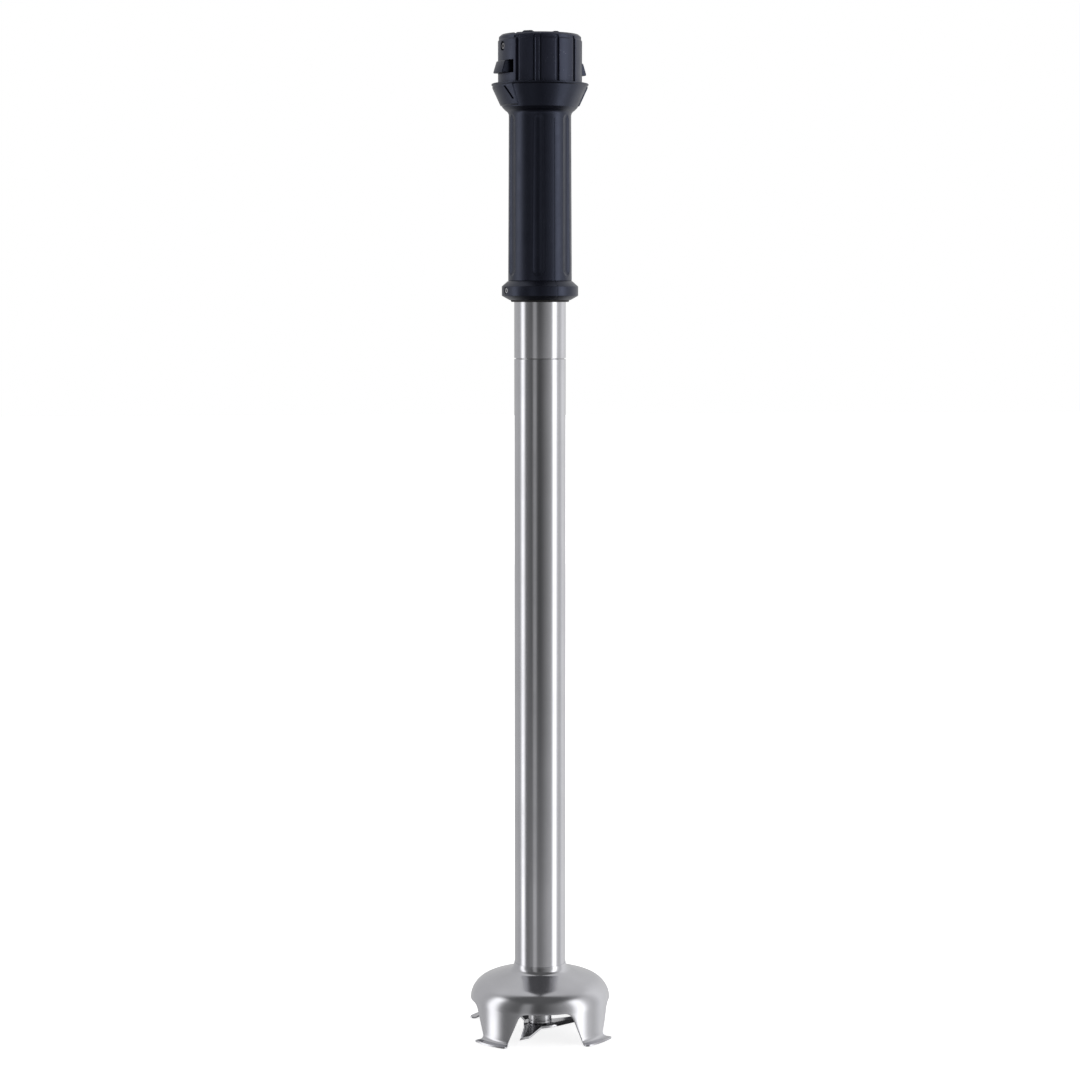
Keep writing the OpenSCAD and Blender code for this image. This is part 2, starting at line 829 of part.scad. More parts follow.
coupling_spigot();
spigot_screws();
spigot_seal();
latch_keeper_left();
latch_keeper_right();
latch_screws();
latch_lug_left();
latch_lug_right();
latch_springs_left();
latch_springs_right();
grip_handle();
grip_collar();
collar_set_screws();
collar_gasket();
bearing_carrier();
bearing_outer_race();
bearing_inner_race();
bearing_balls();
bearing_cage();
wave_washer();
bearing_circlip();
upper_tube();
joint_sleeve();
lower_tube();
tube_guide_bushes();
foot_housing();
foot_bush();
shaft_seal();
seal_retaining_ring();
housing_o_ring();
bell_guard();
drive_shaft();
drive_dog();
dog_pin();
shaft_spacer();
shaft_circlip();
blade_sleeve();
blade();
blade_screw();
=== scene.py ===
import json
import math

import bmesh
import bpy
import numpy as np
from mathutils import Matrix, Vector


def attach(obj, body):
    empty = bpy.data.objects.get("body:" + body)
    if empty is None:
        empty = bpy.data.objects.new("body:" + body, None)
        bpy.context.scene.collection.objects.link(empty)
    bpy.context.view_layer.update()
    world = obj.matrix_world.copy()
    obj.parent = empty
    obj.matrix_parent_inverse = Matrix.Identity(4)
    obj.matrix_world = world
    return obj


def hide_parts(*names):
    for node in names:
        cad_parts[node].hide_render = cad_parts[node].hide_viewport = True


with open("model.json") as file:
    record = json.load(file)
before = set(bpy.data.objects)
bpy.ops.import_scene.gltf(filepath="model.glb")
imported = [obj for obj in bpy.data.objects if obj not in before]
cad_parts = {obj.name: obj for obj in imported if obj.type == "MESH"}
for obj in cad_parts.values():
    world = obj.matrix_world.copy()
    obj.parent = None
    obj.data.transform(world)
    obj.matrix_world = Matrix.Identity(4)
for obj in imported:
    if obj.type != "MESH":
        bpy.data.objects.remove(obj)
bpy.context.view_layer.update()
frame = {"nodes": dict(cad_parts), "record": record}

MM = 0.001
TUBE_R = 19.0
TUBE_BORE = 17.8
TUBE_FOOT_Z = 41.0
TUBE_TOP_Z = 600.0
LUG_ANGLE = 22.5                         # side angle of the right latch lug, degrees from +X
LATCHES = (LUG_ANGLE, LUG_ANGLE + 180)   # side angles of the two latches
CAMERA_AZIMUTH = -5.0                    # camera's side angle, degrees from -Y towards +X

# ---------------------------------------------------------------- mesh helpers


def add_mesh(name, verts, faces, sharp=35.0):
    """A smooth-shaded mesh object from points in mm. Edges over the sharp angle stay crisp."""
    mesh = bpy.data.meshes.new(name)
    mesh.from_pydata([Vector(v) * MM for v in verts], [], faces)
    bm = bmesh.new()
    bm.from_mesh(mesh)
    bmesh.ops.remove_doubles(bm, verts=bm.verts, dist=1e-6)
    bmesh.ops.dissolve_degenerate(bm, edges=bm.edges, dist=1e-7)
    bmesh.ops.recalc_face_normals(bm, faces=bm.faces)
    bm.to_mesh(mesh)
    bm.free()
    obj = bpy.data.objects.new(name, mesh)
    bpy.context.scene.collection.objects.link(obj)
    shade(obj, sharp)
    return obj


def shade(obj, sharp):
    obj.data.polygons.foreach_set("use_smooth", [True] * len(obj.data.polygons))
    obj.data.set_sharp_from_angle(angle=math.radians(sharp))


def rounded(corners, steps=4):
    """A closed outline from (r, z) or (r, z, fillet) corners, with each fillet drawn as an arc."""
    outline = []
    count = len(corners)
    for i, corner in enumerate(corners):
        here = Vector(corner[:2])
        fillet = corner[2] if len(corner) > 2 else 0
        if fillet == 0:
            outline.append(tuple(here))
            continue
        to_last = (Vector(corners[i - 1][:2]) - here).normalized()
        to_next = (Vector(corners[(i + 1) % count][:2]) - here).normalized()
        half = to_last.angle(to_next) / 2
        reach = fillet / math.tan(half)
        centre = here + (to_last + to_next).normalized() * fillet / math.sin(half)
        start = here + to_last * reach - centre
        turn = math.copysign(math.pi - 2 * half, start.cross(here + to_next * reach - centre))
        for k in range(steps + 1):
            a = turn * k / steps
            c, s = math.cos(a), math.sin(a)
            spoke = Vector((start.x * c - start.y * s, start.x * s + start.y * c))
            outline.append(tuple(centre + spoke))
    return outline


def with_rows(outline, heights):
    """The closed outline with extra points wherever one of its sides crosses a height."""
    result = []
    for (r0, z0), (r1, z1) in zip(outline, outline[1:] + outline[:1]):
        result.append((r0, z0))
        cuts = sorted(
            (abs(h - z0), h) for h in heights if min(z0, z1) + 1e-4 < h < max(z0, z1) - 1e-4
        )
        result += [(r0 + (r1 - r0) * (h - z0) / (z1 - z0), h) for _, h in cuts]
    return result


def even_angles(count):
    return [360.0 * i / count for i in range(count)]


def revolve(name, outline, angles=None, relief=None, sharp=35.0):
    """Turns a closed (r, z) outline about the shaft axis. relief(angle, r, z) gives a radius."""
    angles = sorted(set(round(a % 360, 4) for a in (angles or even_angles(192))))
    verts = []
    for angle in angles:
        c, s = math.cos(math.radians(angle)), math.sin(math.radians(angle))
        for r, z in outline:
            if relief:
                r = relief(angle, r, z)
            verts.append((r * c, r * s, z))
    rows, columns = len(outline), len(angles)
    faces = []
    for i in range(columns):
        k = (i + 1) % columns
        for j in range(rows):
            m = (j + 1) % rows
            faces.append((i * rows + j, k * rows + j, k * rows + m, i * rows + m))
    return add_mesh(name, verts, faces, sharp)


def box_mesh(name, low, high):
    xs, ys, zs = zip(low, high)
    corners = [(x, y, z) for x in xs for y in ys for z in zs]
    faces = [(0, 1, 3, 2), (4, 6, 7, 5), (0, 4, 5, 1), (2, 3, 7, 6), (0, 2, 6, 4), (1, 5, 7, 3)]
    return add_mesh(name, corners, faces)


def stepped_pin(name, outline, segments=48):
    """A solid turned from an open (r, z) outline whose two ends lie on its own axis."""
    verts, faces = [], []
    rows = len(outline)
    for i in range(segments):
        a = math.tau * i / segments
        verts += [(r * math.cos(a), r * math.sin(a), z) for r, z in outline]
    for i in range(segments):
        k = (i + 1) % segments
        faces += [
            (i * rows + j, k * rows + j, k * rows + j + 1, i * rows + j + 1)
            for j in range(rows - 1)
        ]
    return add_mesh(name, verts, faces)


def place(obj, matrix):
    """Moves the mesh itself, so that every object keeps its origin at the frame's origin."""
    obj.data.transform(matrix)
    return obj


def radial(angle, z):
    """The place of something whose own +Z points outward at a side angle and a height in mm."""
    return (
        Matrix.Rotation(math.radians(angle), 4, "Z")
        @ Matrix.Translation(Vector((0, 0, z)) * MM)
        @ Matrix.Rotation(math.radians(90), 4, "Y")
    )


def cut(obj, *cutters):
    """Subtracts the cutters from obj and removes them."""
    for cutter in cutters:
        modifier = obj.modifiers.new("cut", "BOOLEAN")
        modifier.operation = "DIFFERENCE"
        modifier.solver = "EXACT"
        modifier.object = cutter
    apply_modifiers(obj)
    for cutter in cutters:
        bpy.data.objects.remove(cutter)
    shade(obj, 35)
    return obj


def bevel(obj, width, segments, angle=35.0):
    """Rounds the edges that are sharper than the angle."""
    modifier = obj.modifiers.new("bevel", "BEVEL")
    modifier.width = width * MM
    modifier.segments = segments
    modifier.limit_method = "ANGLE"
    modifier.angle_limit = math.radians(angle)
    apply_modifiers(obj)
    shade(obj, 50)
    return obj


def apply_modifiers(obj):
    graph = bpy.context.evaluated_depsgraph_get()
    graph.update()
    mesh = bpy.data.meshes.new_from_object(obj.evaluated_get(graph))
    obj.modifiers.clear()
    old = obj.data
    obj.data = mesh
    bpy.data.meshes.remove(old)
    mesh.name = obj.name


def join(name, parts):
    """One object from several meshes."""
    bm = bmesh.new()
    for part in parts:
        bm.from_mesh(part.data)
        bpy.data.objects.remove(part)
    mesh = bpy.data.meshes.new(name)
    bm.to_mesh(mesh)
    bm.free()
    obj = bpy.data.objects.new(name, mesh)
    bpy.context.scene.collection.objects.link(obj)
    shade(obj, 40)
    return obj


def smooth_step(low, high, x):
    t = min(max((x - low) / (high - low), 0.0), 1.0)
    return t * t * (3 - 2 * t)


def angle_to(angle, target):
    """Signed difference in degrees, from -180 to 180."""
    return (angle - target + 180) % 360 - 180


def hand_over(piece, body, slot, material, *nodes):
    """The piece rides on a body, takes a material, and stands for the CAD nodes. The slot is not
    used.
    """
    piece.data.materials.clear()
    piece.data.materials.append(material)
    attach(piece, body)
    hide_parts(*nodes)


# ---------------------------------------------------------------- materials


class Nodes:
    """Short calls for building a node material."""

    def __init__(self, name):
        self.material = bpy.data.materials.new(name)
        self.material.use_nodes = True
        self.tree = self.material.node_tree
        self.shader = self.tree.nodes["Principled BSDF"]
        self.coords = self.add("ShaderNodeTexCoord").outputs["Object"]

    def add(self, kind, **settings):
        node = self.tree.nodes.new(kind)
        for key, value in settings.items():
            setattr(node, key, value)
        return node

    def link(self, source, target):
        self.tree.links.new(source, target)

    def stretched(self, scale):
        """The object's coordinates, scaled along each axis."""
        mapping = self.add("ShaderNodeMapping")
        mapping.inputs["Scale"].default_value = scale
        self.link(self.coords, mapping.inputs["Vector"])
        return mapping.outputs["Vector"]

    def noise(self, scale, detail=4.0, roughness=0.55, vector=None):
        node = self.add("ShaderNodeTexNoise")
        node.inputs["Scale"].default_value = scale
        node.inputs["Detail"].default_value = detail
        node.inputs["Roughness"].default_value = roughness
        self.link(vector or self.coords, node.inputs["Vector"])
        return node.outputs["Fac"]

    def speckle(self, scale, threshold):
        """Small rare spots: 1 in a spot, 0 elsewhere."""
        cells = self.add("ShaderNodeTexVoronoi", feature="F1")
        cells.inputs["Scale"].default_value = scale
        self.link(self.coords, cells.inputs["Vector"])
        return self.ramp(cells.outputs["Distance"], threshold, threshold * 0.6, 0.0, 1.0)

    def ramp(self, value, low, high, out_low, out_high):
        node = self.add("ShaderNodeMapRange")
        keys = ("From Min", "From Max", "To Min", "To Max")
        for key, number in zip(keys, (low, high, out_low, out_high)):
            node.inputs[key].default_value = number
        self.link(value, node.inputs["Value"])
        return node.outputs["Result"]

    def multiply(self, a, b):
        node = self.add("ShaderNodeMath", operation="MULTIPLY")
        self.link(a, node.inputs[0])
        self.link(b, node.inputs[1])
        return node.outputs[0]

    def blend(self, factor, a, b):
        node = self.add("ShaderNodeMix", data_type="RGBA")
        self.link(factor, node.inputs["Factor"])
        for socket, value in ((node.inputs["A"], a), (node.inputs["B"], b)):
            if isinstance(value, tuple):
                socket.default_value = (*value, 1)
            else:
                self.link(value, socket)
        return node.outputs["Result"]

    def bump(self, height, strength, distance, after=None):
        node = self.add("ShaderNodeBump")
        node.inputs["Strength"].default_value = strength
        node.inputs["Distance"].default_value = distance
        self.link(height, node.inputs["Height"])
        if after:
            self.link(after, node.inputs["Normal"])
        self.link(node.outputs["Normal"], self.shader.inputs["Normal"])
        return node.outputs["Normal"]

    def set(self, **values):
        for key, value in values.items():
            self.shader.inputs[key.replace("_", " ")].default_value = value

    def color(self, output):
        self.link(output, self.shader.inputs["Base Color"])

    def roughness(self, output):
        self.link(output, self.shader.inputs["Roughness"])


def moulded_plastic(name, dark, light, rough, wear=0.35):
    """Glass-filled black polyamide: fine grain, soft clouding, rubbed scuffs and a little dust."""
    n = Nodes(name)
    cloud = n.noise(35.0, 3.0)
    scuff = n.ramp(n.noise(60.0, 8.0, 0.75, n.stretched((1, 1, 0.35))), 0.62, 0.74, 0.0, 1.0)
    dust = n.speckle(420.0, 0.10)
    base = n.blend(cloud, dark, light)
    base = n.blend(n.multiply(scuff, n.ramp(cloud, 0.3, 0.65, 0.0, wear)), base, (0.11, 0.12, 0.15))
    dusty = n.multiply(dust, n.ramp(cloud, 0.45, 0.7, 0.0, wear))
    n.color(n.blend(dusty, base, (0.34, 0.36, 0.42)))
    n.roughness(n.ramp(n.noise(90.0, 6.0, 0.6), 0.3, 0.7, rough - 0.05, rough + 0.07))
    grain = n.bump(n.noise(3600.0, 2.0), 0.12, 0.00006)
    n.bump(n.noise(160.0, 4.0), 0.10, 0.0002, grain)
    n.set(IOR=1.68)
    n.shader.inputs["Specular Tint"].default_value = (0.62, 0.70, 1.0, 1)
    return n.material


def polished_steel(name, tint, rough, lines=0.05, across=True):
    """Stainless sheet or tube: fine polishing lines, faint waviness and handling marks."""
    n = Nodes(name)
    rings = n.noise(1.0, 3.0, 0.6, n.stretched((30, 30, 5200) if across else (2600, 2600, 60)))
    haze = n.noise(14.0, 5.0, 0.6)
    marks = n.ramp(n.noise(45.0, 9.0, 0.8), 0.66, 0.78, 0.0, 1.0)
    darker = tuple(c * 0.86 for c in tint)
    n.color(n.blend(n.ramp(haze, 0.35, 0.7, 0.0, 1.0), tint, darker))
    handled = n.multiply(haze, n.ramp(marks, 0, 1, 1.0, 1.25))
    n.roughness(n.ramp(handled, 0.3, 0.8, rough - 0.03, rough + 0.09))
    fine = n.bump(rings, lines, 0.00003)
    n.bump(n.noise(9.0, 2.0), 0.05, 0.0006, fine)
    n.set(Metallic=1.0)
    return n.material


def turned_metal(name, tint, rough, scale=3200.0):
    """A machined part with fine tool marks round its axis."""
    n = Nodes(name)
    marks = n.noise(1.0, 3.0, 0.6, n.stretched((40, 40, scale)))
    n.color(n.blend(marks, tint, tuple(c * 0.8 for c in tint)))
    n.roughness(n.ramp(marks, 0.3, 0.7, rough - 0.05, rough + 0.08))
    n.bump(marks, 0.15, 0.00004)
    n.set(Metallic=1.0)
    return n.material


def soft_polymer(name, tint, rough):
    """Rubber or plain polymer with a fine matt grain."""
    n = Nodes(name)
    cloud = n.noise(80.0, 4.0)
    n.color(n.blend(cloud, tint, tuple(c * 0.8 for c in tint)))
    n.roughness(n.ramp(cloud, 0.3, 0.7, rough - 0.05, rough + 0.05))
    n.bump(n.noise(1500.0, 2.0), 0.15, 0.00006)
    return n.material


POLYAMIDE = moulded_plastic(
    "black_polyamide", (0.0032, 0.0030, 0.0070), (0.0062, 0.0062, 0.0125), 0.33
)
# A lighter copy of the black polyamide for the spigot. Its lighter base colour is painted light for
# the light the spigot catches; its stronger scuffs and dust are wear.
WORN_AND_PAINTED_LIGHT_POLYAMIDE = moulded_plastic(
    "worn_and_painted_light_polyamide", (0.006, 0.006, 0.012), (0.024, 0.025, 0.042), 0.37, 1.0
)
LUG_PLASTIC = moulded_plastic("lug_polyamide", (0.006, 0.006, 0.011), (0.009, 0.009, 0.016), 0.31)
TUBE_STEEL = polished_steel("tube_steel", (0.62, 0.62, 0.65), 0.16)
BELL_STEEL = polished_steel("bell_steel", (0.64, 0.64, 0.67), 0.18)
BLADE_STEEL = polished_steel("blade_steel", (0.6, 0.6, 0.62), 0.16, 0.03, across=False)
SCREW_STEEL = turned_metal("screw_steel", (0.72, 0.72, 0.74), 0.2)
MACHINED = turned_metal("machined_steel", (0.52, 0.52, 0.54), 0.24)
SPRING = turned_metal("spring_steel", (0.3, 0.3, 0.32), 0.32)
BEARING = turned_metal("bearing_steel", (0.7, 0.7, 0.72), 0.12, 6000.0)
BRASS = turned_metal("cage_brass", (0.72, 0.5, 0.2), 0.25)
ALUMINIUM = turned_metal("cast_aluminium", (0.6, 0.6, 0.61), 0.33)
BRONZE = turned_metal("bush_bronze", (0.5, 0.33, 0.19), 0.38)
WHITE_POLYMER = soft_polymer("bush_polymer", (0.8, 0.79, 0.75), 0.45)
RUBBER = soft_polymer("black_rubber", (0.02, 0.02, 0.021), 0.55)

SLOT_MATERIALS = {
    "black_polyamide": POLYAMIDE, "lug_polyamide": LUG_PLASTIC, "satin_steel": TUBE_STEEL,
    "bell_steel": BELL_STEEL, "blade_steel": BLADE_STEEL, "screw_steel": SCREW_STEEL,
    "machined_steel": MACHINED, "spring_steel": SPRING, "bearing_steel": BEARING,
    "cage_brass": BRASS, "cast_aluminium": ALUMINIUM, "bush_polymer": WHITE_POLYMER,
    "bush_bronze": BRONZE, "black_rubber": RUBBER,
}


def finish_cad_nodes():
    """Gives every CAD node that stays the material of its slot."""
    for row in frame["record"]["subparts"]:
        node = frame["nodes"][row["node"]]
        node.data.materials.clear()
        node.data.materials.append(SLOT_MATERIALS[row["material_slot"]])


# ---------------------------------------------------------------- coupling spigot

SPIGOT_R = 30.6
SPIGOT_FOOT_Z = 703.4
SPIGOT_TOP_Z = 740.0
CUP_R = 27.0              # the spigot's lower boss, which stands in the grip
CUP_Z = 694.0
SOCKET_R = 15.0
SOCKET_FLOOR_Z = 718.0
THROAT_R = 12.0
GROOVE_ANGLES = (30.5, 86.8, 116.3, 147.0)   # from a lug
GROOVE_TOP_Z = 737.5
GROOVE_DEPTH = 1.5
GROOVE_SOFT = 0.3         # a groove ends over twice this height
GROOVE_EDGE = 0.5         # rounding of a groove's edge, degrees
NARROW = 2.06             # half width of a plain groove, degrees
RELIEF_R = 27.4           # relief leaves everything nearer the axis alone
WORN_EDGE = 0.10          # share of the groove's depth that wear takes off beside it
WORN_REACH = 1.1          # degrees from the groove
RIB_ANGLE = 58.8          # from a lug
RIB_SLOT = 0.84           # half width of the slots beside the rib, degrees
RIB_SLOT_AWAY = 4.59      # from the rib's middle to a slot's middle, degrees
RIB_SINK = 0.26           # share of the groove's depth that the rib stands back
RIB_HALF = 2.0
RIB_FOOT = 3.0
RIM_LANDS = ((33.5, 54.0, 1.0), (81.0, 94.5, 0.6))   # from angle, to angle, rise
LAND_RAMP = 4.5           # degrees
LAND_INNER_R = 17.2
LAND_OUTER_R = 27.5
NOTCH_W = 3.4
SCREW_RING_R = 21.8
SCREW_ANGLES = (60, 120, 240, 300)           # from the right lug
SCREW_SEAT_Z = 706.0
LUG_Z = 711.6
LUG_H = 9.0
LUG_HALF = 7.2
LUG_R = 35.2
LUG_BACK = 23.2
FLANGE_FRONT = 26.1
FLANGE_LIP = 2.2
GUIDE_HALF = 12.2
GUIDE_FRONT = 24.4
SLOT_GAP = 0.2
SPRING_PLACES = (-3.6, 3.6)
SPRING_BORE_R = 2.9
SPRING_BORE_END = 30.3
LATCH_SCREW_Z = 731.0


def turned_to(angle):
    return Matrix.Rotation(math.radians(angle), 4, "Z")


def grooves():
    """(side angle, half width in degrees) of every slot sunk in the spigot's wall."""
    slots = [(a, NARROW) for a in GROOVE_ANGLES]
    slots += [(RIB_ANGLE - RIB_SLOT_AWAY, RIB_SLOT), (RIB_ANGLE + RIB_SLOT_AWAY, RIB_SLOT)]
    return [(latch + a, half) for latch in LATCHES for a, half in slots]


def spigot_relief(angle, r, z):
    """Sinks the grooves into the spigot's wall. The rib between two slots has worn edges."""
    if r < RELIEF_R or z > GROOVE_TOP_Z + GROOVE_SOFT:
        return r
    end = 1 - smooth_step(GROOVE_TOP_Z - GROOVE_SOFT, GROOVE_TOP_Z + GROOVE_SOFT, z)
    floor = SPIGOT_R - GROOVE_DEPTH
    sink = 0.0
    for centre, half in grooves():
        away = abs(angle_to(angle, centre))
        edge = smooth_step(half - GROOVE_EDGE * 0.6, half + GROOVE_EDGE * 0.5, away)
        sink = max(sink, 1 - edge)
        sink = max(sink, WORN_EDGE * (1 - smooth_step(half, half + WORN_REACH, away)))
    for latch in LATCHES:
        away = abs(angle_to(angle, latch + RIB_ANGLE))
        sink = max(sink, RIB_SINK * (1 - smooth_step(RIB_HALF, RIB_FOOT, away)))
    return r - max(r - floor, 0) * sink * end


def land_rise(angle):
    """Height of the raised lands on the spigot's rim."""
    rise = 0.0
    for latch in LATCHES:
        for start, end, height in RIM_LANDS:
            middle, half = (start + end) / 2, (end - start) / 2
            away = abs(angle_to(angle, latch + middle))
            rise = max(rise, height * (1 - smooth_step(half - LAND_RAMP, half, away)))
    return rise


def spigot_angles():
    """Side angles of the spigot's mesh, closer together at every groove, land and rib edge."""
    angles = even_angles(96)
    for centre, half in grooves():
        near = [half + d for d in (-0.3, -0.18, -0.05, 0.08, 0.25, 0.6, 1.1)]
        for d in [0] + near:
            angles += [centre + d, centre - d]
    for latch in LATCHES:
        for start, end, _ in RIM_LANDS:
            for d in (0, 0.9, 1.8, 2.7, 3.6, LAND_RAMP):
                angles += [latch + start + d, latch + end - d]
        for d in (0, 1.0, RIB_HALF, 2.25, 2.5, 2.75, RIB_FOOT):
            angles += [latch + RIB_ANGLE + d, latch + RIB_ANGLE - d]
    return angles


def screw_spots():
    """The places of the four spigot screws."""
    return [
        turned_to(LUG_ANGLE + a) @ Matrix.Translation((SCREW_RING_R * MM, 0, 0))
        for a in SCREW_ANGLES
    ]


def latch_cutters(latch):
    """Everything that one latch takes out of the spigot: its pocket, window and screw recess."""
    turn = turned_to(latch)
    half = GUIDE_HALF + SLOT_GAP
    pocket = box_mesh("pocket", (18.2, -half, LUG_Z - 2.4), (26.2, half, SPIGOT_TOP_Z + 5))
    window = box_mesh(
        "window", (26.0, -half, LUG_Z - SLOT_GAP), (36, half, LUG_Z + LUG_H + SLOT_GAP)
    )
    recess = [(0, 28.6), (3.2, 28.6), (3.2, 30.2), (3.6, 30.8), (3.6, 32), (0, 32)]
    notch = box_mesh(
        "notch", (SPIGOT_R - 1.6, -NOTCH_W, GROOVE_TOP_Z - 1.4),
        (SPIGOT_R + 3, 0, GROOVE_TOP_Z + 0.2),
    )
    return [
        place(pocket, turn), place(window, turn),
        place(stepped_pin("counterbore", recess), radial(latch, LATCH_SCREW_Z)),
        place(notch, turned_to(GROOVE_ANGLES[0]) @ turn),
    ]


def build_spigot():
    outline = rounded([
        (THROAT_R, CUP_Z), (CUP_R, CUP_Z, 0.3), (CUP_R, SPIGOT_FOOT_Z), (30.4, SPIGOT_FOOT_Z),
        (SPIGOT_R, 706), (SPIGOT_R, 735.3, 0.8), (29.9, 736.3, 0.6), (29.9, 738.4, 0.5),
        (28.0, SPIGOT_TOP_Z, 0.5), (27.6, SPIGOT_TOP_Z), (27.2, SPIGOT_TOP_Z),
        (17.4, SPIGOT_TOP_Z), (17.0, SPIGOT_TOP_Z), (SOCKET_R + 1.2, SPIGOT_TOP_Z, 0.3),
        (SOCKET_R, 738.8, 0.3), (SOCKET_R, SOCKET_FLOOR_Z), (THROAT_R, SOCKET_FLOOR_Z, 0.4),
    ])
    rows = [GROOVE_TOP_Z + d for d in (-0.6, -0.3, -0.15, 0, 0.15, 0.3)]
    outline = with_rows(outline, rows)
    spigot = revolve("coupling_spigot_shell", outline, spigot_angles(), spigot_relief)
    cutters = []
    for latch in LATCHES:
        cutters += latch_cutters(latch)
    well = [
        (0, SCREW_SEAT_Z), (3.7, SCREW_SEAT_Z), (3.7, 739.4), (4.2, 740.1), (4.2, 744), (0, 744)
    ]
    for spot in screw_spots():
        cutters.append(place(stepped_pin("well", well), spot))
    cut(spigot, *cutters)
    for v in spigot.data.vertices:
        r = math.hypot(v.co.x, v.co.y) / MM
        if v.co.z / MM > SPIGOT_TOP_Z - 0.05 and LAND_INNER_R < r < LAND_OUTER_R:
            v.co.z += land_rise(math.degrees(math.atan2(v.co.y, v.co.x))) * MM
    shade(spigot, 35)
    # The spigot takes the lighter polyamide copy, whose lighter colour is painted light.
    hand_over(spigot, "arm", "black_polyamide", WORN_AND_PAINTED_LIGHT_POLYAMIDE, "coupling_spigot")


def spring_bores():
    """The springs' bores, open at the back of a lug."""
    outline = [(0, 20), (SPRING_BORE_R, 20), (SPRING_BORE_R, SPRING_BORE_END), (0, SPRING_BORE_END)]
    return [
        place(stepped_pin("bore", outline), Matrix.Translation((0, y * MM, 0))
              @ radial(0, LUG_Z + LUG_H / 2))
        for y in SPRING_PLACES
    ]


def build_lug(side):
    """A latch lug: ramped on top, flat underneath, with a flange that keeps it in its window."""
    name = ("right", "left")[side]
    rows = [
        ("flat", LUG_BACK, LUG_Z - FLANGE_LIP), ("flat", FLANGE_FRONT, LUG_Z - FLANGE_LIP),
        ("flat", FLANGE_FRONT, LUG_Z), ("round", LUG_R, LUG_Z), ("round", LUG_R, LUG_Z + 1.2),
        ("round", LUG_R - 2.3, LUG_Z + 8.2), ("round", LUG_R - 3.1, LUG_Z + LUG_H),
        ("flat", FLANGE_FRONT, LUG_Z + LUG_H), ("flat", FLANGE_FRONT, LUG_Z + LUG_H + FLANGE_LIP),
        ("flat", LUG_BACK, LUG_Z + LUG_H + FLANGE_LIP),
    ]
    steps = 24
    verts, faces = [], []
    for i in range(steps + 1):
        y = LUG_HALF * (2 * i / steps - 1)
        for kind, value, z in rows:
            verts.append((value if kind == "flat" else math.sqrt(value * value - y * y), y, z))
    count = len(rows)
    for i in range(steps):
        for j in range(count):
            m = (j + 1) % count
            faces.append((i * count + j, i * count + m, (i + 1) * count + m, (i + 1) * count + j))
    faces.append(tuple(range(count)))
    faces.append(tuple(steps * count + j for j in reversed(range(count))))
    body = add_mesh("lug_body", verts, faces)
    bevel(body, 0.6, 4)
    cut(body, *spring_bores())
    guide = box_mesh(
        "guide", (LUG_BACK, -GUIDE_HALF, LUG_Z - FLANGE_LIP),
        (GUIDE_FRONT, GUIDE_HALF, LUG_Z + LUG_H + FLANGE_LIP),
    )
    for bore in spring_bores():
        cut(guide, bore)
    lug = join("latch_lug_body_" + name, [body, guide])
    place(lug, turned_to(LATCHES[side]))
    hand_over(lug, "lug_" + name, "lug_polyamide", LUG_PLASTIC, "latch_lug_" + name)


def socket_head(name, outline, hex_r, hex_top, hex_depth):
    """A turned screw with a hexagon socket in its top end."""
    screw = stepped_pin(name, outline, 64)
    turns = [math.tau * i / 6 for i in range(6)]
    key = [(hex_r * math.cos(a), hex_r * math.sin(a)) for a in turns]
    low, high = hex_top - hex_depth, hex_top + 1
    verts = [(x, y, low) for x, y in key] + [(x, y, high) for x, y in key]
    faces = [tuple(range(5, -1, -1)), tuple(range(6, 12))]
    faces += [(i, (i + 1) % 6, 6 + (i + 1) % 6, 6 + i) for i in range(6)]
    return cut(screw, add_mesh("key", verts, faces))


def build_latch_screws():
    outline = [
        (0, 20.2), (1.7, 20.2), (1.7, 28.6), (2.4, 28.6), (2.4, 29.6), (2.3, 29.85), (2.1, 30.05),
        (0, 30.1),
    ]
    parts = [
        place(socket_head("latch_screw", outline, 1.3, 30.1, 1.0), radial(latch, LATCH_SCREW_Z))
        for latch in LATCHES
    ]
    hand_over(join("latch_screw_pair", parts), "arm", "spring_steel", SPRING, "latch_screws")


def build_spigot_screws():
    outline = [
        (0, 688), (1.75, 688), (1.75, SCREW_SEAT_Z), (3.2, SCREW_SEAT_Z), (3.4, 706.2),
        (3.4, 708.6), (3.0, 709), (0, 709),
    ]
    parts = [
        place(socket_head("spigot_screw", outline, 1.7, 709, 1.6), spot)
        for spot in screw_spots()
    ]
    screws = join("spigot_screw_set", parts)
    hand_over(screws, "arm", "screw_steel", SCREW_STEEL, "spigot_screws")


# ---------------------------------------------------------------- grip

FLARE_Z = 679.5
CONE_Z = 687.7
CONE_R = 27.3
RIM_R = 35.5
RIM_Z = 705.0
GRIP_Z = 562.2
GRIP_TOP_R = 22.75
GRIP_FOOT_R = 23.35
FLUTE_R = 9.0
FLUTE_DEPTH = 1.1
FLUTE_FOOT_Z = 571.0
FLUTE_HEAD_Z = 678.0
PAD_HALF = 28.0
PAD_Z = 689.0
PAD_RISE = 0.9
MARK_ANGLE = 19           # from a lug
MARK_Z = 697.5
MARK_HALF = 4.8           # half of the mark's height
CUFF_R = 21.5             # the grip's foot, inside the collar
CUFF_Z = 553.0
CARRIER_R = 19.0          # the grip's bore for the bearing carrier
CARRIER_Z = 650.0
BORE_TOP_Z = 648.0        # below it the bore is as wide as the tube's
SET_SCREW_Z = 555.2


def soft_min(a, b, k):
    """The smaller of a and b, with the corner where they meet rounded over k."""
    h = max(k - abs(a - b), 0) / k
    return min(a, b) - h * h * k / 4


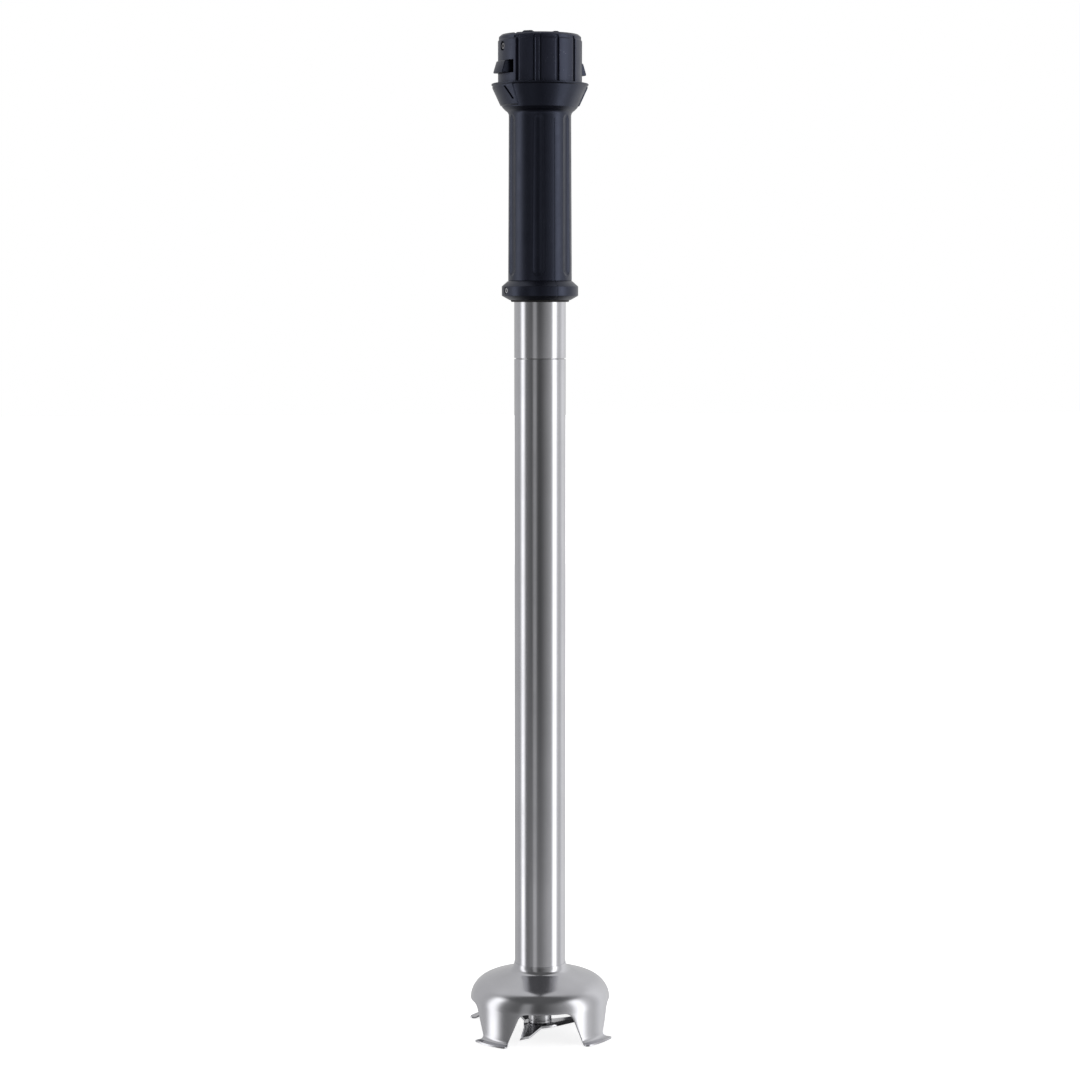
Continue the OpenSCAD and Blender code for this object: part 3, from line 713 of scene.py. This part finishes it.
def flute_surface(offset, z):
    """Radius of a flute's floor at an angle from its centre line, or None outside it."""
    reach = max(FLUTE_FOOT_Z - z, z - FLUTE_HEAD_Z, 0)
    if reach >= FLUTE_R:
        return None
    tool = math.sqrt(FLUTE_R ** 2 - reach ** 2)
    distance = GRIP_TOP_R + FLUTE_R - FLUTE_DEPTH
    side = distance * math.sin(math.radians(offset))
    if abs(offset) > 60 or abs(side) >= tool:
        return None
    return distance * math.cos(math.radians(offset)) - math.sqrt(tool ** 2 - side ** 2)


def grip_relief(angle, r, z):
    """Flutes, mould parting line, guard pads and release marks on the grip's outside."""
    if r < 22.2 or z > RIM_Z - 1.5:
        return r
    for latch in LATCHES:
        offset = angle_to(angle, latch)
        if z > PAD_Z - 0.6:
            edge = 1 - smooth_step(PAD_HALF - 0.5, PAD_HALF + 0.5, abs(offset))
            head = 1 - smooth_step(RIM_Z - 3.2, RIM_Z - 1.6, z)
            height = smooth_step(PAD_Z - 0.4, PAD_Z + 0.3, z) * head
            r += PAD_RISE * edge * height
            lean = offset - MARK_ANGLE + (z - MARK_Z) * 0.9
            if abs(z - MARK_Z) < MARK_HALF:
                ends = 1 - smooth_step(4.2, MARK_HALF, abs(z - MARK_Z))
                r -= 1.3 * (1 - smooth_step(1.0, 1.7, abs(lean))) * ends
        if z < FLARE_Z:
            seam = abs(angle_to(angle, latch + 90))
            r -= 0.22 * (1 - smooth_step(0.2, 0.75, seam))
    for i in range(6):
        floor = flute_surface(angle_to(angle, LUG_ANGLE + 60 * i), z)
        if floor is not None:
            r = soft_min(r, floor, 0.22)
    return r


def arc_points(centre, radius, start, end, steps):
    turns = [math.radians(a) for a in np.linspace(start, end, steps + 1)]
    return [
        (centre[0] + radius * math.cos(a), centre[1] + radius * math.sin(a)) for a in turns
    ]


def set_screw_holes(profile):
    return [
        place(stepped_pin("hole", profile), radial(latch, SET_SCREW_Z)) for latch in LATCHES
    ]


def build_grip():
    flare_r = CONE_R - 0.2 - GRIP_TOP_R
    outline = rounded([
        (TUBE_R, CUFF_Z), (CUFF_R, CUFF_Z, 0.3), (CUFF_R, GRIP_Z), (GRIP_FOOT_R, GRIP_Z, 0.5),
        (GRIP_TOP_R, FLARE_Z),
    ])
    outline += arc_points((GRIP_TOP_R + flare_r, FLARE_Z + 2.2), flare_r, 180, 118, 10)
    outline += rounded([
        (CONE_R, CONE_Z), (34.4, 703.0, 0.8), (RIM_R, 704.0, 0.5), (RIM_R - 0.3, RIM_Z, 0.4),
        (31.4, SPIGOT_FOOT_Z, 0.6), (CUP_R, SPIGOT_FOOT_Z, 0.2), (CUP_R, CUP_Z),
        (CARRIER_R, CUP_Z), (CARRIER_R, CARRIER_Z), (TUBE_BORE, BORE_TOP_Z),
        (TUBE_BORE, TUBE_TOP_Z), (TUBE_R, TUBE_TOP_Z),
    ])
    rows = list(np.arange(GRIP_Z + 0.4, 573, 0.5)) + list(np.arange(573, 672, 4.5))
    rows += list(np.arange(672, SPIGOT_FOOT_Z, 0.45))
    rows += [PAD_Z + d for d in (-0.4, -0.2, 0.15, 0.3)]
    outline = with_rows(outline, rows)
    angles = even_angles(360)
    for latch in LATCHES:
        angles += [latch + 90 + d for d in (-0.75, -0.5, -0.2, 0.2, 0.5, 0.75)]
        angles += [latch + MARK_ANGLE + d for d in np.arange(-6.1, 6.2, 0.33)]
    grip = revolve("grip_shell", outline, angles, grip_relief)
    cut(grip, *set_screw_holes([(0, 18), (2, 18), (2, 23), (0, 23)]))
    hand_over(grip, "arm", "black_polyamide", POLYAMIDE, "grip_handle")


def collar_relief(angle, r, z):
    """The mould parting line runs over the collar too."""
    if r < 22.4:
        return r
    seam = min(abs(angle_to(angle, latch + 90)) for latch in LATCHES)
    return r - 0.2 * (1 - smooth_step(0.2, 0.6, seam))


def build_collar():
    outline = rounded([
        (TUBE_R, 548.3), (22.5, 548.3, 0.3), (28.05, 551.4, 0.5), (28.05, 558.2, 0.7),
        (23.55, GRIP_Z, 0.5), (CUFF_R, GRIP_Z), (CUFF_R, CUFF_Z), (TUBE_R, CUFF_Z),
    ])
    angles = even_angles(240)
    for latch in LATCHES:
        angles += [latch + 90 + d for d in (-0.6, -0.4, -0.2, 0.2, 0.4, 0.6)]
    collar = revolve("grip_collar_ring", outline, angles, collar_relief)
    profile = [(0, 20.5), (2, 20.5), (2, 27.45), (2.6, 27.6), (2.6, 29), (0, 29)]
    cut(collar, *set_screw_holes(profile))
    hand_over(collar, "arm", "black_polyamide", POLYAMIDE, "grip_collar")


def build_set_screws():
    outline = [(0, 19), (1.6, 19), (2, 19.4), (2, 27.3), (1.75, 27.6), (0, 27.65)]
    parts = [
        place(socket_head("set_screw", outline, 1.1, 27.65, 2.2), radial(latch, SET_SCREW_Z))
        for latch in LATCHES
    ]
    screws = join("set_screw_pair", parts)
    hand_over(screws, "arm", "screw_steel", SCREW_STEEL, "collar_set_screws")


def build_gasket():
    outline = rounded([(TUBE_R, 546.9), (21, 546.9, 0.5), (21.8, 548.3, 0.2), (TUBE_R, 548.3)])
    gasket = revolve("collar_gasket_ring", outline)
    hand_over(gasket, "arm", "black_rubber", RUBBER, "collar_gasket")


# ---------------------------------------------------------------- tube

SEAM_Z = 505.5
SEAM_HALF = 0.4


def build_tubes():
    lower_end, upper_foot = SEAM_Z - SEAM_HALF, SEAM_Z + SEAM_HALF
    lower = rounded([
        (TUBE_BORE, TUBE_FOOT_Z), (TUBE_R, TUBE_FOOT_Z),
        (TUBE_R, lower_end, 0.22), (TUBE_BORE, lower_end),
    ])
    upper = rounded([
        (TUBE_BORE, upper_foot), (TUBE_R, upper_foot, 0.22),
        (TUBE_R, TUBE_TOP_Z), (TUBE_BORE, TUBE_TOP_Z),
    ])
    tubes = (("shaft_tube", lower, "lower_tube"), ("ferrule_tube", upper, "upper_tube"))
    for name, outline, node in tubes:
        tube = revolve(name, outline, even_angles(256), sharp=25)
        hand_over(tube, "arm", "satin_steel", TUBE_STEEL, node)


# ---------------------------------------------------------------- bell guard

BELL_R = 52.4
FEET_R = 60.0
SHEET = 1.2
SKIRT_Z = 25.0
SHOULDER_R = 16.5
SHOULDER_Z = 24.2
ROOF_SLOPE = 18.5
NECK_R = 19.3
NECK_FILLET = 6.5
WINDOW_TOP_HALF = 19.0
WINDOW_FOOT_HALF = 28.8
WINDOW_CORNER = 5.0
LIP_BEND = 3.6
LIP_CORNER = 2.5


def roof_z(r):
    slope = math.radians(ROOF_SLOPE)
    start_r = BELL_R - SHOULDER_R + SHOULDER_R * math.sin(slope)
    start_z = SHOULDER_Z + SHOULDER_R * math.cos(slope)
    return start_z + (start_r - r) * math.tan(slope)


def roof_rows():
    """(r, z) down the outside of the bell, from the neck to the skirt's edge."""
    centre_r = NECK_R + NECK_FILLET
    centre_z = roof_z(centre_r) + NECK_FILLET / math.cos(math.radians(ROOF_SLOPE))
    rows = []
    for a in np.linspace(180, 270 - ROOF_SLOPE, 13):
        rows.append((centre_r + NECK_FILLET * math.cos(math.radians(a)),
                     centre_z + NECK_FILLET * math.sin(math.radians(a))))
    first_cone_r = rows[-1][0]
    last_cone_r = BELL_R - SHOULDER_R + SHOULDER_R * math.sin(math.radians(ROOF_SLOPE))
    for r in np.linspace(first_cone_r, last_cone_r, 8)[1:-1]:
        rows.append((r, roof_z(r)))
    for a in np.linspace(90 - ROOF_SLOPE, 0, 22):
        rows.append((BELL_R - SHOULDER_R + SHOULDER_R * math.cos(math.radians(a)),
                     SHOULDER_Z + SHOULDER_R * math.sin(math.radians(a))))
    return [row for row in rows if row[1] >= SKIRT_Z + 0.3] + [(BELL_R, SKIRT_Z)]


def window_half(z):
    """Half width of the opening between two legs at a height."""
    straight = WINDOW_FOOT_HALF + (WINDOW_TOP_HALF - WINDOW_FOOT_HALF) * z / SKIRT_Z
    rise = z - (SKIRT_Z - WINDOW_CORNER)
    if rise <= 0:
        return straight
    return straight - WINDOW_CORNER + math.sqrt(max(WINDOW_CORNER ** 2 - rise ** 2, 0))


def leg_rows():
    """(r, z, half angle of the leg) down the outside of a leg, from the skirt to the lip's tip."""
    rows = []
    turns = [math.radians(a) for a in np.linspace(0, 90, 9)]
    corner = [SKIRT_Z - WINDOW_CORNER * (1 - math.cos(a)) for a in turns]
    for z in corner + list(np.linspace(SKIRT_Z - WINDOW_CORNER, LIP_BEND + SHEET, 7))[1:]:
        rows.append((BELL_R, z, 45 - math.degrees(math.asin(window_half(z) / BELL_R))))
    for a in np.linspace(180, 270, 9)[1:]:
        r = BELL_R + LIP_BEND + LIP_BEND * math.cos(math.radians(a))
        z = LIP_BEND + SHEET + LIP_BEND * math.sin(math.radians(a))
        rows.append((r, z, 45 - math.degrees(math.asin(min(window_half(z) / r, 0.9)))))
    lip_half = rows[-1][2]
    for t in np.linspace(0, 1, 8)[1:]:
        r = BELL_R + LIP_BEND + (FEET_R - BELL_R - LIP_BEND) * t
        into_corner = max(r - (FEET_R - LIP_CORNER), 0)
        trim = LIP_CORNER - math.sqrt(max(LIP_CORNER ** 2 - into_corner ** 2, 0))
        curl = 0.3 * max(t - 0.5, 0) ** 2 * 4
        rows.append((r, SHEET + curl, lip_half - math.degrees(trim / r)))
    return rows


def build_bell():
    """One sheet surface with conforming edges, thickened inward and rounded along its rims."""
    leg_columns, window_columns = 16, 10
    leg_middles = [45 + 90 * quarter for quarter in range(4)]
    top_half = 45 - math.degrees(math.asin(window_half(SKIRT_Z) / BELL_R))
    gap = 90 - 2 * top_half
    ring = []
    for middle in leg_middles:
        ring += [middle - top_half + 2 * top_half * i / leg_columns for i in range(leg_columns)]
        ring += [middle + top_half + gap * i / window_columns for i in range(window_columns)]
    verts, faces = [], []

    def point(angle, r, z):
        verts.append((r * math.cos(math.radians(angle)), r * math.sin(math.radians(angle)), z))
        return len(verts) - 1

    rows = [[point(a, r, z) for a in ring] for r, z in roof_rows()]
    for upper, lower in zip(rows, rows[1:]):
        for i in range(len(ring)):
            k = (i + 1) % len(ring)
            faces.append((upper[i], lower[i], lower[k], upper[k]))
    for middle in leg_middles:
        strips = [
            [point(middle + half * (2 * i / leg_columns - 1), r, z) for i in range(leg_columns + 1)]
            for r, z, half in leg_rows()
        ]
        for upper, lower in zip(strips, strips[1:]):
            for i in range(leg_columns):
                faces.append((upper[i], lower[i], lower[i + 1], upper[i + 1]))
    bell = add_mesh("bell_guard_sheet", verts, faces)
    inside = Vector((0, 0, 30 * MM))
    roof = max(bell.data.polygons, key=lambda p: p.center.z)
    if roof.normal.dot(roof.center - inside) < 0:
        bell.data.flip_normals()
    solid = bell.modifiers.new("sheet", "SOLIDIFY")
    solid.thickness = SHEET * MM
    solid.offset = -1
    solid.use_even_offset = True
    apply_modifiers(bell)
    bevel(bell, 0.3, 3, 55)
    hand_over(bell, "arm", "bell_steel", BELL_STEEL, "bell_guard")


# ---------------------------------------------------------------- blade and sleeve

BLADE_Z = 3.0
BLADE_T = 2.0
WING_START = -112.0       # side angle of the first wing
WING_BENDS = (-4.5, 5.5, 19.0)
# A wing's corners, for a wing that points along +X
ROOT_LEAD = Vector((10.2, -9.5))
TIP_LEAD = Vector((38.2, -4.1))
TIP_TRAIL = Vector((32.2, 2.2))
ROOT_TRAIL = Vector((11.4, 5.05))
WING_ROWS = 14
BEND_X = 10.0
BEND_SOFT = 2.0           # length of the rounded bend
EDGE_T = 0.4              # thickness of the ground edge
EDGE_W = 3.0              # width of the grinding
SHAFT_R = 5.0
DOG_FACE_Z = 708
DOG_PIN_Z = 699
HUB_HOLE = 2.5
COUNTERSINK = 1.84        # underside of the hole, as a share of its top
HUB_RING = 8.0            # radius of the hub's middle row of points
HUB_STEPS = 8
HUB_SCALLOP = 0.9         # how far the hub's edge dips between two wings


def bent(x, bend):
    """Rise of a wing at a distance from the axis, with a short rounded bend."""
    slope = math.tan(math.radians(bend))
    if x < BEND_X:
        return 0.0
    if x < BEND_X + BEND_SOFT:
        return slope * (x - BEND_X) ** 2 / (2 * BEND_SOFT)
    return slope * (x - BEND_X - BEND_SOFT / 2)


def ground_thickness(share):
    """Thickness of a wing at a share of the grinding's width, from the leading edge."""
    return EDGE_T + (BLADE_T - EDGE_T) * share


def wing_columns(t):
    """(point, share of the grinding) across a wing at a share of its length, leading edge first."""
    lead = ROOT_LEAD.lerp(TIP_LEAD, t)
    trail = ROOT_TRAIL.lerp(TIP_TRAIL, t)
    width = (trail - lead).length
    shares = [d / width for d in (0.0, EDGE_W * 0.5, EDGE_W)]
    shares += [(EDGE_W + (width - EDGE_W) * i / 5) / width for i in range(1, 6)]
    return [(lead.lerp(trail, s), min(s * width / EDGE_W, 1.0)) for s in shares]


def hub_edge():
    """(point, share of the grinding) along one third of the hub, up to the next wing."""
    edge = wing_columns(0)
    start = edge[-1][0]
    end = Matrix.Rotation(math.radians(120), 2) @ ROOT_LEAD
    angle_0, angle_1 = math.atan2(start.y, start.x), math.atan2(end.y, end.x)
    for i in range(1, HUB_STEPS):
        t = i / HUB_STEPS
        r = start.length + (end.length - start.length) * t - HUB_SCALLOP * math.sin(math.pi * t)
        a = angle_0 + (angle_1 - angle_0) * t
        edge.append((Vector((r * math.cos(a), r * math.sin(a))), 1.0))
    return edge + [(end, 0.0)]


def build_blade():
    """Hub and three wings as one plate. Each wing is ground on its leading edge."""
    verts, faces = [], []

    def point(spot, z, wing):
        x, y = spot
        a = math.radians(WING_START + 120 * wing)
        verts.append((x * math.cos(a) - y * math.sin(a), x * math.sin(a) + y * math.cos(a), z))
        return len(verts) - 1

    for wing, bend in enumerate(WING_BENDS):
        top, under = [], []
        for i in range(WING_ROWS + 1):
            top_row, under_row = [], []
            for p, share in wing_columns((i / WING_ROWS) ** 1.3):
                z = BLADE_Z + bent(p.x, bend)
                under_row.append(point(p, z, wing))
                ground = ground_thickness(share)
                # the root meets the hub halfway to its full thickness
                ground = ground if i else BLADE_T - (BLADE_T - ground) * 0.5
                top_row.append(point(p, z + ground, wing))
            top.append(top_row)
            under.append(under_row)
        for a, b, c, d in zip(top, top[1:], under, under[1:]):
            for j in range(len(a) - 1):
                faces.append((a[j], b[j], b[j + 1], a[j + 1]))
                faces.append((c[j], c[j + 1], d[j + 1], d[j]))
            faces.append((a[0], c[0], d[0], b[0]))
            faces.append((a[-1], b[-1], d[-1], c[-1]))
        tip_top, tip_under = top[-1], under[-1]
        for j in range(len(tip_top) - 1):
            faces.append((tip_top[j], tip_under[j], tip_under[j + 1], tip_top[j + 1]))
        # hub: radial strips from the screw hole out to the wing's root and the scalloped edge
        loops = []
        for p, share in hub_edge():
            drop = (BLADE_T - ground_thickness(share)) * 0.5
            inner = p.normalized() * HUB_HOLE
            middle = p.normalized() * HUB_RING
            loops.append([
                (point(inner, BLADE_Z + BLADE_T, wing), point(middle, BLADE_Z + BLADE_T, wing),
                 point(p, BLADE_Z + BLADE_T - drop, wing)),
                (point(inner * COUNTERSINK, BLADE_Z, wing), point(middle, BLADE_Z, wing),
                 point(p, BLADE_Z, wing)),
            ])
        root_strips = len(wing_columns(0)) - 1
        for index, (a, b) in enumerate(zip(loops, loops[1:])):
            for j in (0, 1):
                faces.append((a[0][j], b[0][j], b[0][j + 1], a[0][j + 1]))
                faces.append((a[1][j], a[1][j + 1], b[1][j + 1], b[1][j]))
            faces.append((a[0][0], a[1][0], b[1][0], b[0][0]))
            if index >= root_strips:
                faces.append((a[0][2], b[0][2], b[1][2], a[1][2]))
    blade = add_mesh("winged_blade", verts, faces, 30)
    bevel(blade, 0.14, 2, 32)
    hand_over(blade, "rotor", "blade_steel", BLADE_STEEL, "blade")


def build_blade_screw():
    outline = [(0, BLADE_Z), (4.4, BLADE_Z), (4.55, 3.1), (2.5, 4.8), (2.5, 17), (0, 17)]
    upside_down = [(r, -z) for r, z in reversed(outline)]
    screw = socket_head("blade_screw_csk", upside_down, 1.6, -BLADE_Z, 1.2)
    place(screw, Matrix.Rotation(math.pi, 4, "X"))
    hand_over(screw, "rotor", "blade_steel", BLADE_STEEL, "blade_screw")


def build_sleeve():
    outline = rounded([
        (SHAFT_R, 5), (8.3, 5, 0.2), (8.75, 5.5, 0.2), (8.75, 7.2, 0.15), (8.35, 7.5, 0.1),
        (8.35, 8.1, 0.1), (8.75, 8.4, 0.15), (8.75, 31.5, 0.4), (7.25, 33, 0.4), (SHAFT_R, 33),
    ])
    sleeve = revolve("blade_sleeve_body", outline, even_angles(128))
    hand_over(sleeve, "rotor", "machined_steel", MACHINED, "blade_sleeve")


def build_dog():
    """The driving dog: a turned hub with four claws."""
    outline = rounded([
        (SHAFT_R, 693), (9, 693, 0.2), (10, 694, 0.3), (10, 715.2, 0.3), (9.2, 716, 0.3),
        (SHAFT_R, 716, 0.3), (SHAFT_R, DOG_FACE_Z), (0.01, DOG_FACE_Z), (0.01, 706), (SHAFT_R, 706),
    ])
    dog = revolve("driving_dog", outline, even_angles(96))
    cutters = [
        place(box_mesh("slot", (-11, -3.5, DOG_FACE_Z), (11, 3.5, 718)), turned_to(angle))
        for angle in (0, 90)
    ]
    pin_hole = stepped_pin("hole", [(0, -12), (2, -12), (2, 12), (0, 12)])
    cutters.append(place(pin_hole, radial(0, DOG_PIN_Z)))
    cut(dog, *cutters)
    hand_over(dog, "rotor", "machined_steel", MACHINED, "drive_dog")


# ---------------------------------------------------------------- studio

AXIS_DISTANCE = 1.8452
CAMERA_Z = 0.5585
CAMERA_PITCH = 5.8
LENS = 83.33
FLOOR_SIZE = 9000.0
FLOOR_Z = -0.3
FLOOR_COLOR = (0.9, 0.9, 0.905)
SHELL_R = 3200.0
SHELL_Z = 400.0
# (side angle, growing towards the camera's right; brightness) round the studio
WALL_GLOW = [
    (-180, 0.60), (-118, 0.58), (-100, 0.52), (-93, 1.0), (-90, 1.75), (-77, 1.75), (-73, 0.9),
    (-66, 0.24), (-34, 0.11), (-29, 0.40), (-18, 0.40), (-13, 0.12), (-2, 0.08), (10, 0.13),
    (35, 0.32), (54, 0.52), (63, 2.1), (76, 2.1), (83, 0.75), (100, 0.64), (118, 1.0), (180, 0.60),
]


def build_camera():
    data = bpy.data.cameras.new("camera")
    data.lens = LENS
    data.sensor_width = 36.0
    data.clip_end = 30.0
    camera = bpy.data.objects.new("camera", data)
    azimuth = math.radians(CAMERA_AZIMUTH)
    camera.location = (
        AXIS_DISTANCE * math.sin(azimuth), -AXIS_DISTANCE * math.cos(azimuth), CAMERA_Z
    )
    camera.rotation_euler = (math.radians(90 - CAMERA_PITCH), 0, azimuth)
    bpy.context.scene.collection.objects.link(camera)
    bpy.context.scene.camera = camera


def build_floor():
    """A plain pale floor just under the feet. It lights nothing, so black plastic stays black."""
    corners = ((-1, -1), (1, -1), (1, 1), (-1, 1))
    points = [(x * FLOOR_SIZE, y * FLOOR_SIZE, FLOOR_Z) for x, y in corners]
    floor = add_mesh("floor", points, [(0, 1, 2, 3)])
    n = Nodes("floor")
    n.color(n.blend(n.noise(3.0, 2.0), FLOOR_COLOR, tuple(c * 0.985 for c in FLOOR_COLOR)))
    n.set(Roughness=0.9, Emission_Strength=0.8)
    n.shader.inputs["Emission Color"].default_value = (1, 1, 1, 1)
    floor.data.materials.append(n.material)
    floor.visible_glossy = False
    floor.visible_diffuse = False


def glow(side, height):
    """Brightness of the studio by side angle from the camera and height above the horizon."""
    wall = float(np.interp(side, [a for a, _ in WALL_GLOW], [b for _, b in WALL_GLOW]))
    wall += 0.16 * smooth_step(-2, -22, height) * (1 - smooth_step(35, 60, abs(side)))
    overhead = 0.12 + 0.55 * smooth_step(70, 115, abs(side))
    ceiling = smooth_step(30, 48, height)
    ground = smooth_step(-27, -52, height)
    return wall + (overhead - wall) * ceiling + (0.06 - wall) * ground


def studio_shell():
    """A glowing shell: soft side lights, a dark front, a pale ceiling. The camera looks through."""
    columns, rows = 180, 60
    verts = [(0, 0, SHELL_Z - SHELL_R)]
    values = [glow(0, -90)]
    for j in range(1, rows):
        height = -90 + 180 * j / rows
        e = math.radians(height)
        reach = SHELL_R * math.cos(e)
        for i in range(columns):
            side = -180 + 360 * i / columns
            a = math.radians(side + CAMERA_AZIMUTH)
            verts.append((
                reach * math.sin(a), -reach * math.cos(a), SHELL_Z + SHELL_R * math.sin(e)
            ))
            values.append(glow(side, height))
    verts.append((0, 0, SHELL_Z + SHELL_R))
    values.append(glow(0, 90))
    faces = []
    for i in range(columns):
        k = (i + 1) % columns
        faces.append((0, 1 + k, 1 + i))
        for j in range(rows - 2):
            low, high = 1 + j * columns, 1 + (j + 1) * columns
            faces.append((low + i, low + k, high + k, high + i))
        last = 1 + (rows - 2) * columns
        faces.append((last + i, last + k, len(verts) - 1))
    mesh = bpy.data.meshes.new("studio_shell")
    mesh.from_pydata([Vector(v) * MM for v in verts], [], faces)
    mesh.attributes.new("glow", "FLOAT", "POINT").data.foreach_set("value", values)
    shell = bpy.data.objects.new("studio_shell", mesh)
    bpy.context.scene.collection.objects.link(shell)
    material = bpy.data.materials.new("studio_glow")
    material.use_nodes = True
    tree = material.node_tree
    tree.nodes.remove(tree.nodes["Principled BSDF"])
    emission = tree.nodes.new("ShaderNodeEmission")
    attribute = tree.nodes.new("ShaderNodeAttribute")
    attribute.attribute_name = "glow"
    tree.links.new(attribute.outputs["Fac"], emission.inputs["Strength"])
    tree.links.new(emission.outputs["Emission"], tree.nodes["Material Output"].inputs["Surface"])
    mesh.materials.append(material)
    shell.visible_camera = False


def build_studio():
    build_floor()
    studio_shell()
    world = bpy.data.worlds.new("world")
    bpy.context.scene.world = world
    world.use_nodes = True
    background = world.node_tree.nodes["Background"]
    background.inputs["Color"].default_value = (1, 1, 1, 1)
    background.inputs["Strength"].default_value = 1.0
    bpy.context.scene.view_settings.view_transform = "Standard"
    bpy.context.scene.view_settings.look = "None"


# ---------------------------------------------------------------- build

build_camera()
build_studio()
finish_cad_nodes()
build_spigot()
build_lug(0)
build_lug(1)
build_latch_screws()
build_spigot_screws()
build_grip()
build_collar()
build_set_screws()
build_gasket()
build_tubes()
build_bell()
build_blade()
build_blade_screw()
build_sleeve()
build_dog()
